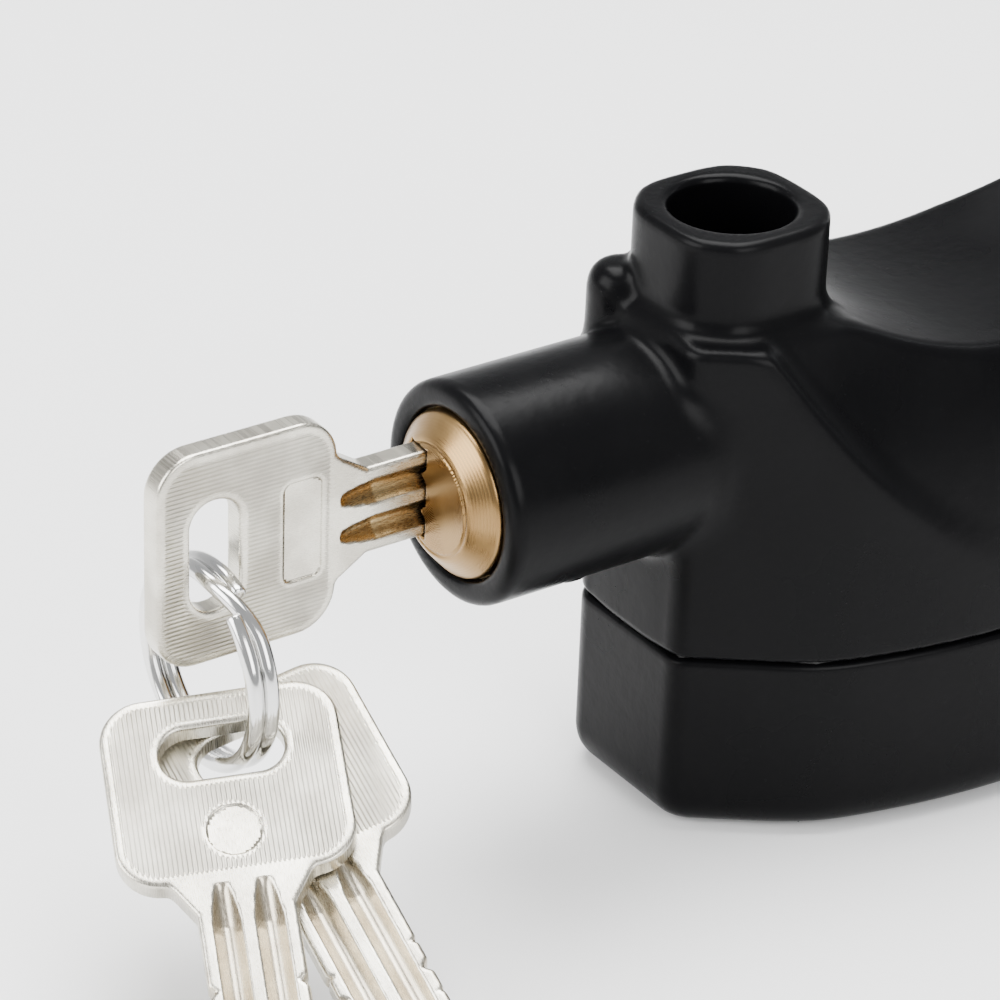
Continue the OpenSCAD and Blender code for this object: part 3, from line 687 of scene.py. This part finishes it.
def with_bosses(d, x, y, z):
    """The block with its towers, its barrel, and the bosses of the pins and the heel leg."""
    for at in (-SOCKET_X, SOCKET_X):
        d = smooth_min(d, tower(x, y, z, at), 2.2)
    axis_z = z - PLUG_AXIS_Z
    barrel = smooth_max(tube(y, axis_z, BARREL_R), slab(x, BARREL_END, BOLT_X1), 1.3)
    d = smooth_min(d, barrel, 1.6)
    boss = tube(x - STOP_PIN[0], y - STOP_PIN[1], 3.0)
    boss = smooth_max(boss, slab(z, PLUG_AXIS_Z, BODY_TOP - 6.2), 2.6)
    d = smooth_min(d, boss, 1.2)
    foot = slab(z, PLUG_AXIS_Z - BARREL_R - 0.9, PLUG_AXIS_Z - 8)
    foot = smooth_max(tube(x - SLEEVE_PIN_X, y, 2.6), foot, 0.6)
    d = smooth_min(d, foot, 0.8)
    heel = smooth_max(tube(x - SOCKET_X, y, 6.2), slab(z, RIGHT_FLOOR - 3.2, SEAM_Z + 2), 0.4)
    return smooth_min(d, heel, 0.4)


def without_bolt_pocket(d, x, y, z):
    """The casting less the room that the bolt slides in, which is three boxes that overlap."""
    x0, x1, mid = BOLT_X0, BOLT_X1, PLUG_AXIS_Z
    d = cut(d, block(x, y, z, (x0 - 0.2, -6.1, mid - 7.4), (x1 + 0.2, 6.2, mid + 4.7)), 0.1)
    d = cut(d, block(x, y, z, (x0 - 0.2, -6.1, mid - 2.7), (x1 + 0.2, 8.4, mid + 2.7)), 0.1)
    return cut(d, block(x, y, z, (x0, -1.9, mid - 2.7), (x1 + 3.1, 8.4, mid + 2.7)), 0.1)


def housing(x, y, z):
    """Distance to the upper housing: its solid forms, less its sockets, bores and pocket."""
    d = with_bosses(housing_block(x, y, z), x, y, z)
    for at, floor in ((-SOCKET_X, LEFT_FLOOR), (SOCKET_X, RIGHT_FLOOR)):
        d = cut(d, np.maximum(tube(x - at, y, SOCKET_R), floor - z), 0.9)
    d = cut(d, tube(x - SOCKET_X, y, 1.55), 0.1)
    d = cut(d, np.maximum(tube(y, z - PLUG_AXIS_Z, SLEEVE_R), x - BOLT_X0), 0.8)
    d = cut(d, block(x, y, z, (-11, -9, 0), (11, 9, SADDLE_Z - 5)), 0.3)
    d = without_bolt_pocket(d, x, y, z)
    d = cut(d, np.maximum(tube(x - SLEEVE_PIN_X, y, 1.25), z - PLUG_AXIS_Z), 0.3)
    stop_pin = slab(z, PLUG_AXIS_Z + 2.8, BODY_TOP - 8.2)
    d = cut(d, np.maximum(tube(x - STOP_PIN[0], y - STOP_PIN[1], 1.25), stop_pin), 0.1)
    for sx, sy in SCREWS:
        d = cut(d, np.maximum(tube(x - sx, np.abs(y) - sy, 1.5), z - SEAM_Z - 8), 0.2)
    return d


HOUSING_CELL = 0.46
points, quads, normals = surface_net(housing, HOUSING_LOW, HOUSING_HIGH, HOUSING_CELL)
dress(make_object("upper_housing_skin", points, quads, normals), "body", COAT, ["upper_housing"])

# %% [markdown]
# ## Cover
# The cover is the deep tray under the housing, which holds the batteries and the siren.
# A tray could be a shelled box with the Solidify modifier, but posts that stand up from
# its floor would break the shell. Here it is the same plan outline rounded off below,
# less a second outline inset by the wall, and the posts are left out of what is taken.

# %% Base cover

WALL = 2.4
DOOR_X0, DOOR_X1, DOOR_Y = -24.0, 1.0, 12.6
SIREN_X = 10.0
PORT_R, PORT_STEP = 0.8, 3.2


def sound_ports(x, y):
    """Distance to the nearest sound port: one in the middle, with rings of 6 and 12."""
    ports = tube(x - SIREN_X, y, PORT_R)
    for ring in (1, 2):
        for k in range(6 * ring):
            a = math.radians(k * 60 / ring)
            px, py = ring * PORT_STEP * math.cos(a), ring * PORT_STEP * math.sin(a)
            ports = np.minimum(ports, tube(x - SIREN_X - px, y - py, PORT_R))
    return ports


def cover(x, y, z):
    """Distance to the lower cover: the tray, less its screw holes, door opening and ports."""
    d = smooth_max(plan(x, y), -z, 4.0)
    d = smooth_max(d, z - COVER_HIGH[2] - SEAM_LAP, 0.8)
    room = np.maximum(plan(x, y, WALL), WALL - z)
    for sx, sy in SCREWS:
        room = np.maximum(room, 2.6 - np.hypot(x - sx, np.abs(y) - sy))
    for sx, sy in BOARD_POSTS:
        room = np.maximum(room, np.minimum(2 - np.hypot(x - sx, np.abs(y) - sy), 7 - z))
    d = cut(d, room, 0.4)
    for sx, sy in BOARD_POSTS:
        d = cut(d, np.maximum(tube(x - sx, np.abs(y) - sy, 1.0), WALL - z), 0.1)
    for sx, sy in SCREWS:
        d = cut(d, tube(x - sx, np.abs(y) - sy, 1.7), 0.2)
        d = cut(d, np.maximum(tube(x - sx, np.abs(y) - sy, 2.5), z - 1.8), 0.3)
    d = cut(d, block(x, y, z, (DOOR_X0, -DOOR_Y, -1), (DOOR_X1, DOOR_Y, 1.8)), 0.2)
    opening = block(x, y, z, (DOOR_X0 + 1.6, 0.8 - DOOR_Y, -1), (DOOR_X1 - 5.4, DOOR_Y - 0.8, WALL + 1))
    d = cut(d, opening, 0.1)
    d = cut(d, np.maximum(tube(x - DOOR_X1 + 2.7, y, 0.9), z - 4), 0.1)
    return cut(d, np.maximum(sound_ports(x, y), z - 4), 0.25)


COVER_CELL = 0.42
points, quads, normals = surface_net(cover, COVER_LOW, COVER_HIGH, COVER_CELL)
dress(make_object("base_cover_skin", points, quads, normals), "body", COAT, ["base_cover"])

# %% [markdown]
# ## Lock plug
# The plug is the brass core that the key turns. Its head has a flat face and a bevel, and
# a keyway with two wards runs through it. A lathe shape with the Screw modifier would
# give the head, and a Boolean the keyway, but its wards taper to nothing and leave thin
# slivers. In a field the ward is one more distance, so it ends cleanly.

# %% Lock plug

KEY_Y0, KEY_Y1 = KEY_LOW[1], KEY_HIGH[1]
BLADE_HALF = 4.1
HEAD_R, FACE_R, PLUG_R = 7.45, 5.3, 6.6
HEAD_BACK = BARREL_END + 1.6
PLUG_END = BOLT_X0 - 0.9
WAFERS = [HEAD_BACK + 0.15 + 2.5 + 2.5 * k for k in range(5)]


def keyway(x, y, z):
    """Distance to the keyway: a slot for the blade, less the wards that fill its grooves.

    Each ward is a wedge: it is deepest in the middle of a groove and thins to nothing.
    """
    w = z - PLUG_AXIS_Z
    ward = 0.75 - np.abs(np.abs(w) - 1.75) * 1.1
    narrow = np.maximum(ward, 0)
    sides = slab(y, KEY_Y0 - 0.1 + narrow, KEY_Y1 + 0.1 - narrow)
    return np.maximum.reduce([sides, np.abs(w) - BLADE_HALF - 0.1, x - BOLT_X0 + 2.6])


def plug(x, y, z):
    """Distance to the plug: its head, stem and drive pin, less the keyway and wafer slots."""
    w = z - PLUG_AXIS_Z
    r = np.hypot(y, w)
    head = np.maximum(r - HEAD_R, slab(x, PLUG_LOW[0], HEAD_BACK))
    bevel_run, bevel_rise = 1.85, 2.15
    bevel = (r - FACE_R) * bevel_run - (x - PLUG_LOW[0]) * bevel_rise
    bevel = bevel / math.hypot(bevel_run, bevel_rise)
    head = smooth_max(head, bevel, 0.35)
    seam = np.hypot(r - FACE_R + 0.35, x - PLUG_LOW[0]) - 0.14
    head = cut(head, seam, 0.1)
    stem = np.maximum(r - PLUG_R, slab(x, HEAD_BACK - 0.5, PLUG_END))
    stem = cut(stem, np.maximum(6.2 - r, slab(x, BOLT_X0 - 1.8, BOLT_X0 - 0.9)), 0.05)
    pin = np.maximum(tube(y - 3.25, w + 3.25, 1.2), slab(x, PLUG_END - 1, BOLT_X1 - 0.3))
    d = np.minimum(np.minimum(head, stem), pin)
    d = cut(d, keyway(x, y, z), 0.25)
    for at in WAFERS:
        d = cut(d, np.maximum(slab(x, at - 0.05, at + 0.85), slab(y, -3.05, 4.45)), 0.05)
    return d


PLUG_CELL = 0.2
points, quads, normals = surface_net(plug, PLUG_LOW, PLUG_HIGH, PLUG_CELL)
dress(make_object("lock_plug_skin", points, quads, normals), "plug", BRASS, ["lock_plug"])

# %% [markdown]
# ## Keys
# The keys are nickel plated, with a rounded bow, a slot for the ring and a blade with two
# milled grooves. One key could be modelled flat and bevelled, but the grooves run out on a
# curve at the bow, which a bevel can't do. So the key is a field drawn flat, with its
# bow's end at zero, and it is meshed three times with its own cuts. The marks for ribs
# and bare brass are worked out from the same distances and stored on the points.

# %% Keys

BOW_LEN, BOW_HALF, BOW_R = 17.5, 10.0, 3.8
SLOT_AT, SLOT_W, SLOT_LEN = 5.65, 4.8, 10.4
KEY_T = KEY_HIGH[1] - KEY_LOW[1]
KEY_LEN = KEY_HIGH[0] - KEY_LOW[0]
NECK_HALF, NECK_LEN = 6.0, 3.0


def rounded_box(u, v, half_u, half_v, r):
    """Distance to a flat box with corners of radius r: that to a smaller box, less r."""
    a, b = np.abs(u) - half_u + r, np.abs(v) - half_v + r
    return np.hypot(np.maximum(a, 0), np.maximum(b, 0)) + np.minimum(np.maximum(a, b), 0) - r


def key_slot(u, v):
    """Distance to the slot for the ring."""
    return rounded_box(u - SLOT_AT, v, SLOT_W / 2, SLOT_LEN / 2, SLOT_W / 2 - 0.05)


def key_panel(u, v):
    """Distance to the smooth panel beside the slot."""
    return rounded_box(u - BOW_LEN + 3.4, v, 1.85, 4.7, 0.8)


DISC_AT = 13.2
GROOVE_AT = 1.75
FIRST_CUT, CUT_STEP = 10, 2.5


def key_shape(cuts, with_panel):
    """The key's field for its five cut depths, with a sunk panel or a disc on its bow."""

    def field(u, v, w):
        """Distance to the key: its outline made KEY_T thick, less two grooves on each face."""
        bow = rounded_box(u - BOW_LEN / 2, v, BOW_LEN / 2, BOW_HALF, BOW_R)
        neck = NECK_HALF - (u - BOW_LEN) * (NECK_HALF - BLADE_HALF) / NECK_LEN
        neck_edge = np.abs(v) - np.clip(neck, BLADE_HALF, NECK_HALF)
        tip = (np.abs(v) * 0.79 + (u - KEY_LEN) * 0.62) - 1.2 * 0.79
        blade = np.maximum.reduce([neck_edge, BOW_LEN - 2 - u, u - KEY_LEN, tip])
        for k, depth in enumerate(cuts):
            beside = np.abs(u - BOW_LEN - FIRST_CUT - CUT_STEP * k)
            notch = beside + BLADE_HALF + 1 - depth - np.abs(v)
            blade = smooth_max(blade, -(notch - 1.0) * 0.7, 0.15)
        outline = smooth_min(bow, blade, 0.6)
        outline = cut(outline, key_slot(u, v), 0.15)
        half = KEY_T / 2
        d = smooth_max(outline, np.abs(w - half) - half, 0.5)
        face = half - np.abs(w - half)
        if with_panel:
            d = cut(d, np.maximum(key_panel(u, v), face - 0.25), 0.15)
        run_in = np.clip((u - BOW_LEN - 0.3) / 3.6, 0, 1) ** 0.5
        off = (np.abs(v) - GROOVE_AT) / (0.35 + 0.85 * run_in)
        d = smooth_max(d, (run_in * 1.05 * (1 - off * off) - face) * 0.6, 0.15)
        if not with_panel:
            d = cut(d, np.maximum(np.hypot(u - DISC_AT, v) - 2.25, face - 0.2), 0.15)
        return d

    return field


# %% Meshing a key


def make_key(name, body, node, placed, cuts, with_panel=False):
    """A key mesh in its place, with marks where its ribs and bare brass are."""
    cell = 0.24
    low, high = (0, -BOW_HALF, 0), (KEY_LEN, BOW_HALF, KEY_T)
    p, q, n = surface_net(key_shape(cuts, with_panel), low, high, cell)
    u, v, w = p.T
    face = KEY_T / 2 - np.abs(w - KEY_T / 2)
    bow = rounded_box(u - BOW_LEN / 2, v, BOW_LEN / 2, BOW_HALF, BOW_R)
    detail = key_panel(u, v) - 0.3 if with_panel else np.hypot(u - DISC_AT, v) - 2.5
    free = np.minimum.reduce([-bow - 0.7, key_slot(u, v) - 0.6, detail])
    ribbed = np.clip(free / 0.3, 0, 1) * (face < 0.1)
    in_groove = (np.abs(np.abs(v) - GROOVE_AT) < 1.25) & (u > BOW_LEN) & (face > 0.08)
    edge = (np.abs(v) > 3.2) & (np.abs(v) < BLADE_HALF - 0.12)
    in_cut = edge & (np.abs(n[:, 1]) > 0.4) & (u > BOW_LEN + 8)
    bare = (in_groove | in_cut) * (1.0 if with_panel else 0.3)
    made = make_object(name, p, q, n, placed, {"ribbed": ribbed, "bare": bare}, p[:, :2])
    return dress(made, body, NICKEL, [node])


# %% Places of the keys

RING_CENTRE = (Vector(RING_LOW) + Vector(RING_HIGH)) / 2
WIRE = (RING_HIGH[0] - RING_LOW[0]) / 2 + 0.02
WIRE_PATH = (RING_HIGH[2] - RING_LOW[2]) / 2 - WIRE / 2


def on_ring(angle):
    """The point of the wire's path at an angle round the ring, from the +Y side upwards."""
    a = math.radians(angle)
    return RING_CENTRE + WIRE_PATH * Vector((0, math.cos(a), math.sin(a)))


FAN_A, FAN_B, SIDE_A, SIDE_B = 214.6, 234.6, 2.6, -1.6
FAN_HEADING, FAN_ROLL, FAN_YAW = (math.radians(a) for a in (-112.2, 7, 17.4))
tip_drop = KEY_T / 2 + 0.2 + BLADE_HALF * math.sin(FAN_ROLL)
FAN_PITCH = math.asin((on_ring(FAN_A).z - tip_drop) / (KEY_LEN - SLOT_AT))


def spare_place(angle, side, yaw):
    """Where a spare key lies: its slot on the ring, in the plane that both keys share."""
    turn = Matrix.Rotation(FAN_HEADING, 4, "Z") @ Matrix.Rotation(FAN_PITCH, 4, "Y")
    turn = turn @ Matrix.Rotation(FAN_ROLL, 4, "X") @ Matrix.Rotation(yaw, 4, "Z")
    to_slot = Matrix.Translation((-SLOT_AT, -side, -KEY_T / 2))
    return Matrix.Translation(on_ring(angle)) @ turn @ to_slot


in_lock = Matrix.Translation((KEY_LOW[0], KEY_HIGH[1], PLUG_AXIS_Z))
in_lock = in_lock @ Matrix.Rotation(math.pi / 2, 4, "X")
place_a, place_b = spare_place(FAN_A, SIDE_A, 0), spare_place(FAN_B, SIDE_B, FAN_YAW)
CUTS, CUTS_A = (0.3, 0.6, 0.2, 0.5, 0.3), (0.5, 0.2, 0.6, 0.3, 0.4)
make_key("main_key_skin", "key", "main_key", in_lock, CUTS, True)
make_key("spare_key_a_skin", "spare_a", "spare_key_a", place_a, CUTS_A)
make_key("spare_key_b_skin", "spare_b", "spare_key_b", place_b, CUTS)
print("the spare keys slope down by", round(math.degrees(FAN_PITCH), 1), "degrees")

# %% [markdown]
# ## Split ring
# A split ring is two turns of one wire, which step across once. The Screw modifier would
# spread that step over the whole turn, as in a spring. Here the wire's path is worked out
# as points, and a round tube is swept along it, with its ends closed and rounded.

# %% Split ring

STEP_FROM, STEP_TURNS = 0.93, 0.14
HAIR = 1e-4


def split_ring():
    """Centres of the wire: two turns round the ring, with a short step between the coils.

    The step is t squared (3 - 2 t), with t from 0 to 1 over STEP_TURNS of a turn.
    """
    turns = np.linspace(0.02, 1.98, 240)
    across = np.clip((turns - STEP_FROM) / STEP_TURNS, 0, 1)
    across = across * across * (3 - 2 * across)
    a = turns * 2 * math.pi + math.radians(120)
    x = RING_CENTRE[0] + (across - 0.5) * (WIRE - 0.02)
    return np.stack([x, RING_CENTRE[1] + WIRE_PATH * np.cos(a), RING_CENTRE[2] + WIRE_PATH * np.sin(a)], 1)


def capped_tube(name, centres, radius, sides, end_round):
    """A tube whose ends close over a short stretch, where the radius shrinks as a cosine.

    Each end's last centre is doubled, with a hair's radius, to close the tube. All centres
    then shift by a trace that grows along the tube, so that no two of them are the same.
    """
    c = np.asarray(centres, float)
    step = np.linspace(0, 1, 6)
    first, last = c[0] - c[1], c[-1] - c[-2]
    first, last = first / np.linalg.norm(first), last / np.linalg.norm(last)
    lead = np.sin(step[::-1] * math.pi / 2)[:, None]
    start = c[0] + end_round * lead[:-1] * first
    end = c[-1] + end_round * lead[::-1][1:] * last
    c = np.concatenate([start, c, end])
    shrink = 1 - end_round / radius * (1 - np.cos(step[::-1] * math.pi / 2))
    r = np.concatenate([radius * shrink[:-1], np.full(len(centres), radius), radius * shrink[::-1][1:]])
    c = np.concatenate([c[:1], c, c[-1:]])
    r = np.concatenate([[HAIR], r, [HAIR]])
    trace = np.linspace(0, 1e-7, len(c))[:, None]
    p, q = swept_tube(c + trace, r, sides)
    return make_object(name, p, q)


wire = capped_tube("split_ring_skin", split_ring(), WIRE / 2 - 0.01, 20, 0.3)
dress(wire, "ring", CHROME, ["split_ring"])

# %% [markdown]
# ## Shackle
# The shackle is a hardened steel bar bent to a U. The heel leg stays in its socket, and a
# notch near the other leg's tip takes the bolt. A curve with a round bevel would make the
# bar, but not its notch or groove. The field is two straight bars and half a ring, less
# the notch and the groove of the friction ring.

# %% Shackle

BAR_R = (BAR_HIGH[1] - BAR_LOW[1]) / 2
HEEL_TIP, FREE_TIP = BAR_LOW[2], BAR_LOW[2] + 10
FREE_X = BAR_HIGH[0] - BAR_R
BOW_X = (SOCKET_X + FREE_X) / 2
BEND_Z = BAR_HIGH[2] - BAR_R - (FREE_X - SOCKET_X) / 2
NOTCH_Z = FREE_TIP + PLUG_AXIS_Z - 32.0
RING_GROOVE = HEEL_TIP + 3.6


def shackle(x, y, z):
    """Distance to the shackle: two legs and half a ring, with a notch and a groove."""
    bow = tube(np.hypot(x - BOW_X, z - BEND_Z) - (FREE_X - SOCKET_X) / 2, y, BAR_R)
    bow = np.maximum(bow, BEND_Z - z)
    heel = np.maximum(smooth_max(tube(x - SOCKET_X, y, BAR_R), HEEL_TIP - z, 2.4), z - BEND_Z)
    free = np.maximum(smooth_max(tube(x - FREE_X, y, BAR_R), FREE_TIP - z, 2.4), z - BEND_Z)
    d = np.minimum(np.minimum(bow, heel), free)
    notch = np.maximum(slab(z, NOTCH_Z - 2.9, NOTCH_Z + 2.9), FREE_X + 2.5 - x)
    groove = np.maximum.reduce([slab(z, RING_GROOVE - 1.1, RING_GROOVE + 1.1),
        4.1 - np.hypot(x - SOCKET_X, y), np.abs(x - SOCKET_X) - 8])
    return cut(cut(d, notch, 0.4), groove, 0.1)


SHACKLE_CELL = 0.5
points, quads, normals = surface_net(shackle, BAR_LOW, BAR_HIGH, SHACKLE_CELL)
dress(make_object("shackle_skin", points, quads, normals), "shackle", SHACKLE, ["shackle_bar"])

# %% [markdown]
# ## Pieces kept from the CAD part
# Screws, pins, springs and electronics are turned, stamped or moulded to plain shapes,
# which the CAD part already holds. Building them again would only add a chance to miss
# their place, so they keep their mesh and take the finish of their own metal or plastic.

# %% Kept pieces

KEPT = {
    "battery_door": COAT, "lock_sleeve": SLEEVE, "tumbler_wafers": STAMPED, "vibration_sensor": GOLD_CAN,
    "circuit_board": BOARD, "boost_coil": COPPER, "smoothing_capacitor": SLEEVE_BLUE, "battery_cells": CELL,
    "friction_ring": NYLON, "arming_plunger": NYLON,
}
STEEL_PIECES = [
    "cover_screws", "sleeve_pin", "bolt_stop_pin", "locking_bolt", "plug_clip", "board_screws",
    "door_screw", "plunger_spring", "contact_strip", "contact_springs",
]
KEPT.update(dict.fromkeys(STEEL_PIECES, STEEL))
KEPT.update(dict.fromkeys(["cover_gasket", "plunger_seal", "door_gasket", "siren_gasket"], RUBBER))
KEPT.update(dict.fromkeys(["control_chip", "arming_switch", "piezo_siren", "battery_cradle"], PLASTIC))
for name, material in KEPT.items():
    NODES[name].data.materials.clear()
    NODES[name].data.materials.append(material)
print(len(KEPT), "CAD pieces kept")

# %% [markdown]
# ## Floor and light
# The lock stands on pale paper that curves up behind it, so no horizon shows. Black
# coating shows its form only by what it mirrors, so three large soft lights stand above,
# to the left and in front: each draws a soft band along the edges that face it. Small
# lamps would draw hard spots. A pale world fills in the rest.

# %% Stage


def floor_material():
    """Pale paper with a very faint tooth."""
    m = Material("pale_paper")
    tooth = m.place.noise(600, 3.0)
    cloud = m.place.noise(9, 2.0).ramp(0.3, 0.7)
    return m.finish(Base_Color=cloud.blend(rgb(0.90, 0.90, 0.90), rgb(0.93, 0.93, 0.93)),
        Roughness=0.62, Normal=tooth.bump(0.00003, 0.3))


def backdrop(half=1.6, rise=1.2):
    """A floor that curves up far behind the object, by the square of the way past a line."""
    across = np.linspace(-half, half, 41)
    run = np.linspace(-half, half, 80)
    height = rise * np.clip((run - 0.55) / 0.9, 0, 1) ** 2
    gx, gy = np.meshgrid(across, run, indexing="ij")
    points = np.stack([gx, gy, np.broadcast_to(height, gx.shape)], -1).reshape(-1, 3) / MM
    i, j = np.meshgrid(np.arange(len(across) - 1), np.arange(len(run) - 1), indexing="ij")
    a = i * len(run) + j
    quads = np.stack([a, a + len(run), a + len(run) + 1, a + 1], -1).reshape(-1, 4)
    made = make_object("floor", points, quads)
    made.data.materials.append(floor_material())
    return made


def soft_light(name, place, aim, size, power, colour=(1, 1, 1)):
    """A square area light at place that faces aim."""
    lamp = bpy.data.lights.new(name, "AREA")
    lamp.size, lamp.energy, lamp.color = size, power, colour
    made = bpy.data.objects.new(name, lamp)
    made.location = place
    made.rotation_euler = (Vector(aim) - Vector(place)).to_track_quat("-Z", "Y").to_euler()
    bpy.context.scene.collection.objects.link(made)
    return made


# %% Lights and world

MIDDLE = (-0.02, 0, 0.035)
lights = [
    soft_light("top_light", (0.05, 0.12, 0.62), MIDDLE, 0.5, 11.5),
    soft_light("left_light", (-0.62, 0.10, 0.35), MIDDLE, 0.45, 6.5),
    soft_light("front_light", (-0.05, -0.75, 0.42), MIDDLE, 0.5, 6.0),
]
backdrop()

world = bpy.data.worlds.new("studio")
bpy.context.scene.world = world
world.use_nodes = True
sky = world.node_tree.nodes["Background"].inputs
sky["Color"].default_value = rgb(0.92, 0.93, 0.95)
sky["Strength"].default_value = 0.62
print("lights:", [(lamp.name, round(lamp.data.energy, 1)) for lamp in lights])

# %% [markdown]
# ## Camera
# The camera stands at the front left, a little above the lock, and is rolled slightly. A
# Track To constraint would aim it but can't roll it, so its three axes are worked out
# from two angles and the roll, and they become the columns of its matrix.

# %% Camera

AZIMUTH, ELEVATION, ROLL = (math.radians(a) for a in (-35.42, 28.95, 2.15))
sa, ca, se, ce = math.sin(AZIMUTH), math.cos(AZIMUTH), math.sin(ELEVATION), math.cos(ELEVATION)
flat_right = Vector((ca, sa, 0))
flat_up = Vector((-sa * se, ca * se, ce))
back = Vector((sa * ce, -ca * ce, se))
right = math.cos(ROLL) * flat_right + math.sin(ROLL) * flat_up
up = math.cos(ROLL) * flat_up - math.sin(ROLL) * flat_right
camera = bpy.data.cameras.new("camera")
camera.lens, camera.sensor_width = 162, 36
seen = bpy.data.objects.new("camera", camera)
turned = Matrix((right, up, back)).transposed().to_4x4()
seen.matrix_world = Matrix.Translation((-0.2444, -0.2744, 0.2208)) @ turned
bpy.context.scene.collection.objects.link(seen)
bpy.context.scene.camera = seen

print("camera at", [round(c, 3) for c in seen.matrix_world.translation], "m, lens", camera.lens, "mm")
